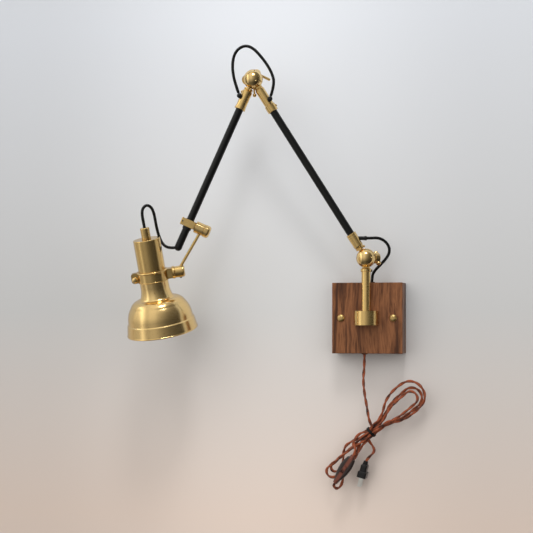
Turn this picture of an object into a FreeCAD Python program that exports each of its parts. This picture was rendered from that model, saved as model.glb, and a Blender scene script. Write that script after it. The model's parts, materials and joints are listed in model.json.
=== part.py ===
"""Articulating wall lamp: walnut wall box, swivelling brass stem, two black tube arms with ball
knuckles, a tie rod and a turning shade.  Millimetres, X right, Y into the wall, Z up.  The origin
is the centre of the box's back face, on the wall."""
import FreeCAD, Part
import math
import os

V = FreeCAD.Vector
os.makedirs("parts", exist_ok=True)

# ---------------------------------------------------------------- driving dimensions
# clearances shared by every fit
RUN_FIT = 0.05            # radial gap of a part that turns in another
FREE_GAP = 0.3            # gap between parts that move past each other
HOLE_EASE = 0.25          # radial ease of a clearance hole round a fixed screw
THREAD_EASE = 0.02        # radial ease of a screw in its tapped hole

# wall box and what fastens it
BOX_SIDE = 120.0
BOX_DEPTH = 45.0
BOX_WALL = 12.0
BOX_EDGE = 1.2
BOX_SCREW_SPACING = 88.9
BOX_SCREW_R = 2.0
BOX_SCREW_HEAD_R = 6.3
BOX_SCREW_HEAD_H = 3.6
STRAP_WIDTH = 20.0
STRAP_THICK = 2.0
WALL_HOLE_SPACING = 69.85
WALL_HOLE_R = 2.5

# hub and stem
HUB_R = 20.0
HUB_HEIGHT = 24.0
HUB_LINE_DEPTH = 0.6
STEM_STANDOFF = 11.0      # box face to stem axis
STEM_R = 7.5
STEM_TOP = 81.5
HUB_FLOOR = 7.0           # hub metal under the stem
WASHER_T = 1.0
RETAINER_R = 3.0
RETAINER_HEAD_R = 6.5
RETAINER_HEAD_H = 3.2
HUB_SCREW_X = 13.0
HUB_SCREW_R = 2.0
TERMINAL_TOP = -14.0
TERMINAL_BOTTOM = -34.0
SWING = 13.5              # degrees that the arms' plane is turned out from the wall

# ball knuckles; slot and screw angles are degrees clockwise from straight up
BALL_R = 12.25
NECK_ROOT = 26.0          # the ball's neck ends here, from its centre
SEAT_START = 18.0         # the cup's foot meets its stem or tube fitting here
CAP_SCREW_R = 1.1
CAP_SCREW_AT = 13.8       # from the ball's axis
SET_R = 1.3
SET_HEAD_R = 2.2
SET_HEAD_H = 1.8
BASE_SLOT = (-98, 53)
BASE_CAP_SCREWS = (72, 217)
ELBOW_SLOT = (177, 337)
ELBOW_CAP_SCREWS = (10, 110)
CUP_WALL = 4.2
CAP_R = 16.3
MOUTH_EASE = 0.05         # radial ease of the cup's round mouth, which lets the ball in
TRUNNION_R = 3.0          # pin behind the ball, turning in the back of its cup
TRUNNION_OUT = 15.8
DIMPLE_R = 2.4
DIMPLE_DEPTH = 0.8
CUP_SPLIT = 5.0           # the front cap starts this far in front of the ball's centre
NECK_R = 4.5
BASE_BALL_Z = 101.0
COLLAR_R = 9.0
COLLAR_H = 5.5
COLLAR_GRIP = 4.0         # stem length inside the collar
CLAMP_SHANK_R = 3.5
CLAMP_BOSS_R = 9.4
CLAMP_BOSS_OUT = 14.6
BASE_KNOB_R = 9.2
BASE_KNOB_L = 8.6
BASE_CLAMP_TURN = 25.0    # degrees that the base clamp screw points behind the arms' plane
BASE_BAR_R = 4.1
BASE_BAR_SINK = 2.0       # bar's axis under the knob's end
BASE_BAR_L = 25.0
BASE_BAR_SLANT = 27.0

# arm 1
ARM1_LEAN = 32.3
ARM1_LENGTH = 354.8
TUBE_R = 6.35
TUBE_WALL = 1.2
FERRULE_START = 17.2
LOWER_FERRULE_END = 47.5
LOWER_FERRULE_R = 8.4
RING_R = 7.4
UPPER_BODY_R = 7.8
UPPER_COLLAR_R = 9.0
UPPER_COLLAR_L = 12.6
UPPER_FITTING_END = 63.8  # from the elbow's centre
TUBE_GRIP = 18.0          # tube length inside a ferrule
BUSH_R = 3.2
BUSH_AT = 39.2            # flex bush on the lower ferrule, from the ball's centre
BUSH_OUT = 11.2
GROMMET_BALL_R = 4.4
GROMMET_NECK_R = 3.3
UPPER_GROMMET_AT = 44.0   # from the elbow's centre

# elbow and arm 2
ARM2_LEAN = 24.0
ARM2_END = 308.7          # elbow's centre to the open end of the tube
ARM2_FERRULE_END = 55.5
ARM2_FERRULE_R = 8.5
ARM2_LIP_R = 9.4
ARM2_GROMMET_AT = 35.2
ELBOW_KNOB_R = 6.2
ELBOW_KNOB_L = 8.5
LEVER_R = 2.25
LEVER_SINK = 3.8
LEVER_LONG = 25.5
LEVER_SHORT = 5.0
STOP_ANGLE = 174.5
STOP_R = 1.5
STOP_BALL_R = 3.2
STOP_REACH = 27.0
LOBE_R = 8.6              # rounded cheek behind the left of the elbow

# tube clamp, tie rod and head ring
CLAMP_AT = 265.4          # elbow's centre to the clamp, along arm 2
CLAMP_W = 12.3
CLAMP_HALF_Y = 9.5
CLAMP_LEFT = 13.4
CLAMP_RIGHT = 12.0
PINCH_R = 1.25
PINCH_DEPTH = 3.4         # pocket of the pinch screw in the clamp's front
LINER_T = 1.0
LINER_L = 17.5
BARREL_R = 10.0
BARREL_L = 15.4
KNOB_R = 10.6
KNOB_L = 10.6
PIVOT_R = 3.0
ROD_AT = 24.0             # rod's place on the upper pivot, from arm 2's axis
ROD_R = 2.5
RING_ACROSS = -60.2       # ring centre from the tube clamp's centre, in the arms' plane
RING_BELOW = 87.0
YOKE_SLOPE = 8.97         # degrees that the yoke's axis rises to the right
HEAD_PITCH = 13.0         # degrees that the head's top leans out to the front
YOKE_END = 37.2
YOKE_R = 10.6
LOWER_BARREL_R = 9.6
LOWER_BARREL_L = 16.5
LOWER_ROD_AT = 42.0       # rod's place on the lower pivot, from the head's axis
RING_BAND = 18.6
RING_T = 2.7
LIP_OUT = 1.4             # rounded lip round the ring's top edge
LIP_H = 3.6
EAR_REACH = 36.3
EAR_T = 3.6
EAR_GAP = 2.4
RING_SCREW_X = 30.4
RING_SCREW_Z = -2.5
RING_SCREW_R = 2.0
RING_SCREW_HEAD_R = 5.1
PIN_R = 4.0
PIN_L = 12.0

# head
CUP_R = 22.75
CUP_WALL_T = 1.3
CUP_TOP = 63.0
CUP_BOTTOM = -16.0
NIPPLE_R = 7.75
NIPPLE_L = 19.0
TAIL_R = 5.0
TAIL_GRIP = 6.0
SHADE_T = 1.0
SHADE_NECK_T = 1.35
SHADE_NECK_TOP = -9.8
SHADE_RIM_R = 60.0
SHADE_RIM_Z = -96.0
SOCKET_R = 17.0
SOCKET_TOP = 56.0
SOCKET_MOUTH = -14.0
SHELL_R = 13.6
BULB_BASE_R = 13.0
BULB_R = 22.0
BULB_TIP = -86.0
GLASS_TOP = -20.0
GLASS_T = 0.9

# leads
FLEX_R = 2.5
MAINS_R = 2.6
INLET_X = 5.0             # flex hole in the box top
GLAND_X = -7.5            # mains cord hole in the box bottom
HOLE_Y = -25.0
GROMMET_R = 5.0
GROMMET_T = 1.6
BUNDLE_TILT = 41.0        # degrees that the tied bundle's axis rises to the right
STRAND_GAP = 0.8
STRAIGHT = 5.0            # straight length of each strand on both sides of the tie's middle
TIE_T = 0.9
TIE_W = 6.0

# in-line switch and plug
SWITCH_HALF_W = 9.8         # at its widest, a third of the way down
SWITCH_HEEL_W = 7.2
SWITCH_TOE_W = 4.2
SWITCH_HALF_T = 6.0
SHELL_T = 2.6
RELIEF_L = 6.0
RELIEF_R = 3.7
BUTTON_TRAVEL = 6.0
BUTTON_HALF_W = 2.6
BUTTON_FOOT_W = 3.9
BUTTON_L = 7.0
PLUG_L = 29.0
PLUG_HALF_W = 5.8
PLUG_HALF_D = 10.5
PLUG_FLANGE = 10.5
PLUG_STEP = 2.0           # how far the plug's front collar stands out
BLADE_SPACING = 12.7
BLADE_W = 6.35
BLADE_T = 1.5
BLADE_L = 16.0
BLADE_ROOT = 6.0

# ---------------------------------------------------------------- small helpers


def export(name, *solids):
    """Write one node; several solids make one node of separate pieces."""
    shape = solids[0] if len(solids) == 1 else Part.Compound(list(solids))
    shape.exportStep("parts/" + name + ".step")
    print(name, len(shape.Solids), "solids", round(sum(s.Volume for s in shape.Solids), 1))


def cylinder(radius, length, start=V(0, 0, 0), axis=V(0, 0, 1)):
    return Part.makeCylinder(radius, length, start, axis)


def between(radius, start, end):
    """A round bar from one point to another."""
    return cylinder(radius, (end - start).Length, start, end - start)


def block(x0, x1, y0, y1, z0, z1):
    return Part.makeBox(x1 - x0, y1 - y0, z1 - z0, V(x0, y0, z0))


def turned(outline):
    """Turn a closed outline about Z.  A point is (radius, height); a pair of points is an arc
    through the first to the second."""
    def at(p):
        return V(p[0], 0, p[1])
    edges = []
    here = at(outline[0])
    for step in outline[1:] + [outline[0]]:
        if isinstance(step[0], tuple):
            middle, end = at(step[0]), at(step[1])
            edges.append(Part.Arc(here, middle, end).toShape())
        else:
            end = at(step)
            if end.distanceToPoint(here) < 1e-6:
                continue
            edges.append(Part.LineSegment(here, end).toShape())
        here = end
    return Part.Face(Part.Wire(edges)).revolve(V(0, 0, 0), V(0, 0, 1), 360)


def round_head(radius, height, rise):
    """A screw head that stands on Z = 0, domed by rise."""
    side = height - rise
    middle = (radius * 0.68, side + rise * 0.78)
    return turned([(0, 0), (radius, 0), (radius, side), (middle, (0, height))])


def placed(shape, place):
    return shape.transformed(place.toMatrix(), True)


def place(origin, rotation=FreeCAD.Rotation()):
    return FreeCAD.Placement(origin, rotation)


def aimed(origin, axis, across):
    """A frame at origin whose Z runs along axis and whose X lies towards across."""
    return place(origin, FreeCAD.Rotation(across, V(0, 0, 0), axis, "ZXY"))


def lean(angle):
    """Direction in the arms' plane, angle degrees clockwise from straight up."""
    return V(math.sin(math.radians(angle)), 0, math.cos(math.radians(angle)))


# ---------------------------------------------------------------- frames worked out from the sizes
BOX_HALF = BOX_SIDE / 2
CAVITY = BOX_HALF - BOX_WALL
STEM_Y = -BOX_DEPTH - STEM_STANDOFF
TERMINAL_BACK = HOLE_Y + 6.0
CUP_OUT_R = BALL_R + CUP_WALL
CUP_IN_R = BALL_R + RUN_FIT
ARM_PLANE = place(V(0, STEM_Y, 0), FreeCAD.Rotation(V(0, 0, 1), SWING))
BASE_BALL = V(0, 0, BASE_BALL_Z)
ARM1_DIR = lean(-ARM1_LEAN)
ELBOW = BASE_BALL + ARM1_DIR * ARM1_LENGTH
ARM2_DIR = lean(180 + ARM2_LEAN)
ARM1_LINE = aimed(BASE_BALL, ARM1_DIR, lean(90 - ARM1_LEAN))
ARM2_LINE = aimed(ELBOW, ARM2_DIR, lean(ARM2_LEAN - 90))
BASE_CLAMP_DIR = V(math.cos(math.radians(BASE_CLAMP_TURN)), math.sin(math.radians(BASE_CLAMP_TURN)), 0)
ELBOW_CLAMP_DIR = V(0.30, 0.71, 0.64).normalize()
LEVER_DIR = V(0.892, 0, -0.451)
LEVER_DIR = (LEVER_DIR - ELBOW_CLAMP_DIR * LEVER_DIR.dot(ELBOW_CLAMP_DIR)).normalize()
PIVOT_DIR = lean(90 + ARM2_LEAN)
CLAMP_CENTRE = ELBOW + ARM2_DIR * CLAMP_AT
CLAMP_LINE = aimed(CLAMP_CENTRE, ARM2_DIR, PIVOT_DIR)
PIVOT_LINE = aimed(CLAMP_CENTRE, PIVOT_DIR, ARM2_DIR)
RING_CENTRE = CLAMP_CENTRE + V(RING_ACROSS, 0, -RING_BELOW)
YOKE_DIR = lean(90 - YOKE_SLOPE)
HEAD_UP = lean(-YOKE_SLOPE) * math.cos(math.radians(HEAD_PITCH)) + V(0, -math.sin(math.radians(HEAD_PITCH)), 0)
HEAD_LINE = aimed(RING_CENTRE, HEAD_UP, YOKE_DIR)
YOKE_LINE = aimed(RING_CENTRE, YOKE_DIR, HEAD_UP)
ROD_TOP = CLAMP_CENTRE + PIVOT_DIR * ROD_AT
ROD_FOOT = RING_CENTRE + YOKE_DIR * LOWER_ROD_AT


def arms(shape, line=place(V(0, 0, 0))):
    """Put a shape drawn in one of the arms' lines into the lamp."""
    return placed(placed(shape, line), ARM_PLANE)


# ---------------------------------------------------------------- wall box
def make_wall_box():
    box = block(-BOX_HALF, BOX_HALF, -BOX_DEPTH, 0, -BOX_HALF, BOX_HALF)
    box = box.makeFillet(BOX_EDGE, [e for e in box.Edges if e.BoundBox.YMin < -1])
    box = box.cut(block(-CAVITY, CAVITY, BOX_WALL - BOX_DEPTH, 1, -CAVITY, CAVITY))
    for side in (-1, 1):
        hole = cylinder(BOX_SCREW_R + HOLE_EASE, BOX_DEPTH,
                        V(side * BOX_SCREW_SPACING / 2, -BOX_DEPTH - 1, 0), V(0, 1, 0))
        screw = cylinder(HUB_SCREW_R + HOLE_EASE, BOX_WALL + 2,
                         V(side * HUB_SCREW_X, -BOX_DEPTH - 1, 0), V(0, 1, 0))
        box = box.cut(hole).cut(screw)
    inlet = cylinder(GROMMET_R - GROMMET_T, BOX_WALL + 2, V(INLET_X, HOLE_Y, CAVITY - 1))
    gland = cylinder(GROMMET_R - GROMMET_T, BOX_WALL + 2, V(GLAND_X, HOLE_Y, -BOX_HALF - 1))
    return box.cut(inlet).cut(gland)


def make_bush(lead_r):
    """A rubber bush drawn with its outer flange on Z = 0 and its tail going down through the wall."""
    neck = GROMMET_R - GROMMET_T - THREAD_EASE
    bore = lead_r + RUN_FIT
    top = (bore + GROMMET_R) / 2
    return turned([(bore, -BOX_WALL - GROMMET_T), (GROMMET_R - 0.6, -BOX_WALL - GROMMET_T),
                   (GROMMET_R - 0.6, -BOX_WALL), (neck, -BOX_WALL), (neck, 0), (GROMMET_R, 0),
                   ((top + 1.1, GROMMET_T * 0.8), (top, GROMMET_T)), (bore, GROMMET_T)])


def make_strap():
    strap = block(1 - CAVITY, CAVITY - 1, -STRAP_THICK, 0, -STRAP_WIDTH / 2, STRAP_WIDTH / 2)
    for side in (-1, 1):
        strap = strap.cut(cylinder(BOX_SCREW_R + THREAD_EASE, 9,
                                   V(side * BOX_SCREW_SPACING / 2, -6, 0), V(0, 1, 0)))
        strap = strap.cut(cylinder(WALL_HOLE_R, 9, V(side * WALL_HOLE_SPACING / 2, -6, 0), V(0, 1, 0)))
    return strap


def slotted(head, radius, height, width=1.3, depth=1.2):
    return head.cut(block(-radius, radius, -width / 2, width / 2, height - depth, height + 1))


def make_box_screws():
    outward = FreeCAD.Rotation(V(1, 0, 0), 90)
    screws = []
    for side in (-1, 1):
        head = slotted(round_head(BOX_SCREW_HEAD_R, BOX_SCREW_HEAD_H, 2.4), BOX_SCREW_HEAD_R,
                       BOX_SCREW_HEAD_H)
        screw = head.fuse(cylinder(BOX_SCREW_R, BOX_DEPTH - 0.3, V(0, 0, 0), V(0, 0, -1)))
        screws.append(placed(screw, place(V(side * BOX_SCREW_SPACING / 2, -BOX_DEPTH, 0), outward)))
    return screws


def make_hub():
    outline = HUB_R
    half = HUB_HEIGHT / 2
    hub = cylinder(outline, HUB_HEIGHT, V(0, STEM_Y, -half))
    hub = hub.common(block(-outline, outline, -99, STEM_Y, -half, half))
    hub = hub.fuse(block(-outline, outline, STEM_Y, -BOX_DEPTH, -half, half)).removeSplitter()
    for line_z in (half - 2.2, 2.2 - half):
        ring = cylinder(outline + 1, 0.8, V(0, STEM_Y, line_z - 0.4)).cut(
            cylinder(outline - HUB_LINE_DEPTH, 0.8, V(0, STEM_Y, line_z - 0.4)))
        hub = hub.cut(ring.common(block(-30, 30, STEM_Y - 30, STEM_Y, -half, half)))
    hub = hub.cut(cylinder(STEM_R + RUN_FIT, HUB_HEIGHT, V(0, STEM_Y, HUB_FLOOR - half)))
    hub = hub.cut(cylinder(RETAINER_R + RUN_FIT, HUB_HEIGHT, V(0, STEM_Y, -half - 1)))
    hub = hub.cut(cylinder(RETAINER_HEAD_R + 1, RETAINER_HEAD_H + 0.8 + 1, V(0, STEM_Y, -half - 1)))
    for side in (-1, 1):
        hub = hub.cut(cylinder(HUB_SCREW_R + THREAD_EASE, 9, V(side * HUB_SCREW_X, -BOX_DEPTH, 0), V(0, -1, 0)))
    return hub


def make_hub_screws():
    inward = FreeCAD.Rotation(V(1, 0, 0), -90)
    screws = []
    for side in (-1, 1):
        screw = slotted(round_head(3.8, 2.6, 1.6), 3.8, 2.6, 1.0, 0.9).fuse(
            cylinder(HUB_SCREW_R, BOX_WALL + 8, V(0, 0, 0), V(0, 0, -1)))
        screws.append(placed(screw, place(V(side * HUB_SCREW_X, BOX_WALL - BOX_DEPTH, 0), inward)))
    return screws


def make_terminal_block():
    body = block(-14, 14, BOX_WALL - BOX_DEPTH, TERMINAL_BACK, TERMINAL_BOTTOM, TERMINAL_TOP)
    for x in (-7.5, 7.5):
        for z in (TERMINAL_TOP - 5, TERMINAL_BOTTOM + 5):
            body = body.cut(cylinder(2.4, 3.0, V(x, TERMINAL_BACK - 3.0, z), V(0, 1, 0)))
    return body


def make_terminal_screws():
    outward = FreeCAD.Rotation(V(1, 0, 0), -90)
    return [placed(slotted(cylinder(2.2, 2.2), 2.2, 2.2, 0.7, 0.6), place(V(x, TERMINAL_BACK - 3.0, z), outward))
            for x in (-7.5, 7.5) for z in (TERMINAL_TOP - 5, TERMINAL_BOTTOM + 5)]


export("wall_box", make_wall_box())
export("wall_strap", make_strap())
export("box_screws", *make_box_screws())
export("hub", make_hub())
export("inner_screws", *make_hub_screws(), *make_terminal_screws())
export("box_bushes", placed(make_bush(FLEX_R), place(V(INLET_X, HOLE_Y, BOX_HALF))),
       placed(make_bush(MAINS_R), place(V(GLAND_X, HOLE_Y, -BOX_HALF), FreeCAD.Rotation(V(1, 0, 0), 180))))
export("terminal_block", make_terminal_block())

# ---------------------------------------------------------------- stem
STEM_FOOT = HUB_FLOOR - HUB_HEIGHT / 2 + WASHER_T


def make_stem():
    stem = turned([(0, STEM_FOOT), (STEM_R - 0.5, STEM_FOOT), (STEM_R, STEM_FOOT + 0.5),
                   (STEM_R, STEM_TOP), (0, STEM_TOP)])
    tapped = cylinder(RETAINER_R + THREAD_EASE, 13, V(0, 0, STEM_FOOT - 1))
    bore = cylinder(NECK_R, 10, V(0, 0, STEM_TOP - 10))
    return placed(stem.cut(tapped).cut(bore), ARM_PLANE)


def make_retainer():
    head_top = RETAINER_HEAD_H + 0.8 - HUB_HEIGHT / 2 - FREE_GAP
    head = round_head(RETAINER_HEAD_R, RETAINER_HEAD_H, 1.4)
    head = placed(slotted(head, RETAINER_HEAD_R, RETAINER_HEAD_H),
                  place(V(0, 0, head_top), FreeCAD.Rotation(V(1, 0, 0), 180)))
    return placed(head.fuse(cylinder(RETAINER_R, STEM_FOOT + 10 - head_top, V(0, 0, head_top))), ARM_PLANE)


def make_thrust_washer():
    floor = HUB_FLOOR - HUB_HEIGHT / 2
    return placed(turned([(RETAINER_R + 0.3, floor), (STEM_R - 0.4, floor), (STEM_R - 0.4, floor + WASHER_T),
                          (RETAINER_R + 0.3, floor + WASHER_T)]), ARM_PLANE)


export("stem", make_stem())
export("stem_retainer", make_retainer(), make_thrust_washer())


# ---------------------------------------------------------------- ball knuckles
def slot_wedge(from_angle, to_angle):
    """The gap that the ball's neck swings in: angles clockwise from straight up."""
    reach = (CUP_OUT_R + 4) / math.cos(math.radians(10))
    steps = math.ceil((to_angle - from_angle) / 20)
    rim = [lean(from_angle + (to_angle - from_angle) * i / steps) * reach for i in range(steps + 1)]
    front = V(0, -CUP_SPLIT, 0)
    corners = [front] + [point + front for point in rim] + [front]
    return Part.Face(Part.makePolygon(corners)).extrude(V(0, CUP_SPLIT + NECK_R + FREE_GAP, 0))


def cap_screw_spots(angles):
    return [lean(angle) * CAP_SCREW_AT for angle in angles]


def make_cup(slot_from, slot_to, clamp_dir, seat_dir, seat_start, screw_angles):
    """Hollow ball seat: back and sides of a sphere, open at the front and slotted for the neck."""
    boss = cylinder(CLAMP_BOSS_R, CLAMP_BOSS_OUT, V(0, 0, 0), clamp_dir)
    cup = Part.makeSphere(CUP_OUT_R).fuse(boss).fuse(cylinder(6.6, seat_start, V(0, 0, 0), seat_dir))
    cup = cup.cut(block(-40, 40, -40, -CUP_SPLIT, -40, 40))
    cup = cup.cut(slot_wedge(slot_from, slot_to))
    cup = cup.cut(cylinder(CLAMP_BOSS_R + 1, 9, clamp_dir * CLAMP_BOSS_OUT, clamp_dir))
    cup = cup.cut(Part.makeSphere(CUP_IN_R))
    cup = cup.cut(cylinder(CUP_IN_R + MOUTH_EASE, CUP_SPLIT, V(0, -CUP_SPLIT - 1, 0), V(0, 1, 0)))
    cup = cup.cut(cylinder(CLAMP_SHANK_R + RUN_FIT, 30, V(0, 0, 0), clamp_dir))
    cup = cup.cut(cylinder(TRUNNION_R + RUN_FIT, 30, V(0, 0, 0), V(0, 1, 0)))
    for spot in cap_screw_spots(screw_angles):
        cup = cup.cut(cylinder(CAP_SCREW_R + THREAD_EASE, 6, spot + V(0, -CUP_SPLIT - 1, 0), V(0, 1, 0)))
    return cup


def make_cap(screw_angles, dimple):
    """Domed front cover of a knuckle with its two screw holes and a shallow dimple."""
    cap = Part.makeSphere(CAP_R).cut(block(-40, 40, -CUP_SPLIT, 40, -40, 40)).cut(Part.makeSphere(CUP_IN_R))
    for spot in cap_screw_spots(screw_angles):
        cap = cap.cut(cylinder(CAP_SCREW_R + HOLE_EASE, 20, spot + V(0, -20, 0), V(0, 1, 0)))
    return cap.cut(Part.makeSphere(DIMPLE_R, dimple.normalize() * (CAP_R + DIMPLE_R - DIMPLE_DEPTH)))


def make_cap_screws(screw_angles):
    """Small headless screws, their ends flush inside the cap."""
    return [cylinder(CAP_SCREW_R, 5.0, spot + V(0, -CUP_SPLIT - 1.0, 0), V(0, 1, 0))
            for spot in cap_screw_spots(screw_angles)]


def make_clamp_knob(radius, length):
    """Barrel head and shank of a clamp screw, along Z, whose tip bears on the ball."""
    start = CLAMP_BOSS_OUT + FREE_GAP
    edge = radius * 0.12
    head = turned([(0, start), (radius - 0.6, start), (radius, start + 0.6), (radius, start + length - edge),
                   ((radius - edge * 0.3, start + length - edge * 0.3), (radius - edge, start + length)),
                   (0, start + length)])
    return head.fuse(cylinder(CLAMP_SHANK_R, start - BALL_R + 0.2, V(0, 0, BALL_R + 0.2)))


def round_bar(radius, length):
    """A bar along Z with rounded ends, centred on the origin."""
    half = length / 2
    bulge = radius * 0.6
    flat = radius * 0.3
    rim = (radius * 0.81, half - bulge * 0.24)
    low = (radius * 0.81, -half + bulge * 0.24)
    return turned([(0, -half), (flat, -half), (low, (radius, bulge - half)), (radius, half - bulge),
                   (rim, (flat, half)), (0, half)])


BASE_CUP_PLACE = place(BASE_BALL)


def make_base_cup():
    """Ball seat with the collar that grips the stem's top."""
    cup = make_cup(*BASE_SLOT, BASE_CLAMP_DIR, V(0, 0, -1), SEAT_START, BASE_CAP_SCREWS)
    cup = placed(cup, BASE_CUP_PLACE)
    low = STEM_TOP - COLLAR_GRIP
    collar = turned([(0, low), (COLLAR_R - 0.5, low), (COLLAR_R, low + 0.5), (COLLAR_R, low + COLLAR_H - 0.8),
                     (COLLAR_R - 0.8, low + COLLAR_H), (6.6, BASE_BALL_Z - SEAT_START + 1),
                     (0, BASE_BALL_Z - SEAT_START + 1)])
    cup = cup.fuse(collar).cut(cylinder(STEM_R, COLLAR_GRIP, V(0, 0, low)))
    cup = cup.fuse(cylinder(NECK_R, 10, V(0, 0, STEM_TOP - 10)))
    screw_z = low + COLLAR_GRIP / 2
    return cup.cut(cylinder(SET_R + THREAD_EASE, 20, V(STEM_R - 2, 0, screw_z), V(1, 0, 0)))


def make_set_screw(depth):
    """A small round-headed set screw along Z whose head sits on Z = 0."""
    return slotted(round_head(SET_HEAD_R, SET_HEAD_H, 0.9), SET_HEAD_R, SET_HEAD_H, 0.6, 0.6).fuse(
        cylinder(SET_R, depth, V(0, 0, 0), V(0, 0, -1)))


def set_screw_at(point, outward, depth):
    return placed(make_set_screw(depth), aimed(point, outward, V(0.1, 0.3, 1)))


def set_hole(point, outward, depth):
    return cylinder(SET_R + THREAD_EASE, depth + 3, point - outward * depth, outward)


def make_t_bar(direction, distance, bar_dir, radius, long_end, short_end):
    bar = round_bar(radius, long_end + short_end)
    middle = direction * distance + bar_dir * ((long_end - short_end) / 2)
    return placed(bar, aimed(middle, bar_dir, direction))


BASE_BAR_AT = CLAMP_BOSS_OUT + FREE_GAP + BASE_KNOB_L - BASE_BAR_SINK
SLANT = math.radians(BASE_BAR_SLANT)
BASE_BAR_DIR = V(0, 0, 1) * math.cos(SLANT) + V(0, 0, 1).cross(BASE_CLAMP_DIR) * math.sin(SLANT)
ELBOW_BAR_AT = CLAMP_BOSS_OUT + FREE_GAP + ELBOW_KNOB_L - LEVER_SINK

base_bar = make_t_bar(BASE_CLAMP_DIR, BASE_BAR_AT, BASE_BAR_DIR, BASE_BAR_R, BASE_BAR_L / 2, BASE_BAR_L / 2)
base_knob = placed(make_clamp_knob(BASE_KNOB_R, BASE_KNOB_L),
                   aimed(V(0, 0, 0), BASE_CLAMP_DIR, BASE_BAR_DIR)).cut(base_bar)
lever = make_t_bar(ELBOW_CLAMP_DIR, ELBOW_BAR_AT, LEVER_DIR, LEVER_R, LEVER_LONG, LEVER_SHORT)
elbow_knob = placed(make_clamp_knob(ELBOW_KNOB_R, ELBOW_KNOB_L),
                    aimed(V(0, 0, 0), ELBOW_CLAMP_DIR, LEVER_DIR)).cut(lever)

export("base_cup", placed(make_base_cup(), ARM_PLANE))
export("base_cap", arms(make_cap(BASE_CAP_SCREWS, V(7.4, -13.0, 1.0)), BASE_CUP_PLACE))
export("base_screws", *[arms(s, BASE_CUP_PLACE) for s in make_cap_screws(BASE_CAP_SCREWS)],
       arms(set_screw_at(V(COLLAR_R, 0, STEM_TOP - COLLAR_GRIP / 2), V(1, 0, 0), COLLAR_R - STEM_R)))
export("base_clamp_screw", arms(base_knob, BASE_CUP_PLACE), arms(base_bar, BASE_CUP_PLACE))

# ---------------------------------------------------------------- arm 1, drawn along Z from the base ball
SET_DEPTH = 2.5
LOWER_SET = (V(RING_R, 0, FERRULE_START + 1.5), V(1, 0, 0), SET_DEPTH)
UPPER_SET = (V(UPPER_COLLAR_R, 0, ARM1_LENGTH - UPPER_FITTING_END + 6.5), V(1, 0, 0), SET_DEPTH)
ARM1_TUBE_FROM = LOWER_FERRULE_END - TUBE_GRIP
ARM1_TUBE_TO = ARM1_LENGTH - UPPER_FITTING_END + TUBE_GRIP


def make_ball(root):
    """Ball with its neck and, behind it, the pin that it hinges on."""
    ball = Part.makeSphere(BALL_R).fuse(cylinder(NECK_R, root))
    return ball.fuse(cylinder(TRUNNION_R, TRUNNION_OUT, V(0, 0, 0), V(0, 1, 0)))


def make_lower_ferrule():
    body = turned([(0, FERRULE_START), (RING_R - 0.8, FERRULE_START), (RING_R, FERRULE_START + 0.8),
                   (RING_R, FERRULE_START + 3.0), (RING_R - 0.7, FERRULE_START + 3.6),
                   (RING_R - 0.2, FERRULE_START + 4.4), (LOWER_FERRULE_R - 0.4, FERRULE_START + 6.4),
                   (LOWER_FERRULE_R, LOWER_FERRULE_END - 1.6), (LOWER_FERRULE_R + 0.4, LOWER_FERRULE_END - 1.2),
                   (LOWER_FERRULE_R + 0.4, LOWER_FERRULE_END - 0.3), (LOWER_FERRULE_R, LOWER_FERRULE_END),
                   (0, LOWER_FERRULE_END)])
    body = body.cut(cylinder(TUBE_R, TUBE_GRIP + 1, V(0, 0, ARM1_TUBE_FROM))).cut(set_hole(*LOWER_SET))
    return body.cut(cylinder(NECK_R, NECK_ROOT - FERRULE_START + 1, V(0, 0, FERRULE_START - 1)))


def tube(outer, wall, start, end):
    return cylinder(outer, end - start, V(0, 0, start)).cut(cylinder(outer - wall, end - start, V(0, 0, start)))


def make_upper_fitting():
    top = ARM1_LENGTH - SEAT_START
    low = ARM1_LENGTH - UPPER_FITTING_END
    collar_top = low + UPPER_COLLAR_L
    body = turned([(0, low), (UPPER_COLLAR_R - 0.6, low), (UPPER_COLLAR_R, low + 0.6),
                   (UPPER_COLLAR_R, collar_top - 0.8), (UPPER_COLLAR_R - 0.8, collar_top),
                   (UPPER_BODY_R, collar_top + 0.5), (UPPER_BODY_R, top - 2.8), (UPPER_BODY_R - 1.8, top), (0, top)])
    body = body.cut(cylinder(TUBE_R, TUBE_GRIP + 1, V(0, 0, low - 1))).cut(set_hole(*UPPER_SET))
    return body.cut(cylinder(NECK_R, 12, V(0, 0, top - 10)))


def arm1(shape):
    return arms(shape, ARM1_LINE)


def flex_port(radius, at, outward, side_r):
    """A drilled hole from the tube's axis out through its side."""
    return cylinder(radius, side_r + 6, V(0, 0, at), outward)


# the base flex leaves to the right, level; the elbow flexes leave from rubber grommets
BASE_FLEX_OUT = V(math.cos(math.radians(ARM1_LEAN)), 0, math.sin(math.radians(-ARM1_LEAN)))
ARM1_GROMMET_AT = ARM1_LENGTH - UPPER_GROMMET_AT
ARM1_GROMMET_OUT = V(math.sin(math.radians(33)), -math.cos(math.radians(33)), 0)
ARM2_GROMMET_OUT = V(math.cos(math.radians(35)), -math.sin(math.radians(35)), 0)


def make_grommet(surface_r):
    """Round rubber grommet along Z, pushed into the side of a fitting."""
    plug = cylinder(GROMMET_NECK_R - THREAD_EASE, 3.0, V(0, 0, surface_r - 1.2))
    ball = Part.makeSphere(GROMMET_BALL_R, V(0, 0, surface_r + 2.6))
    return plug.fuse(ball.cut(block(-9, 9, -9, 9, -9, surface_r + 0.15)))


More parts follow.
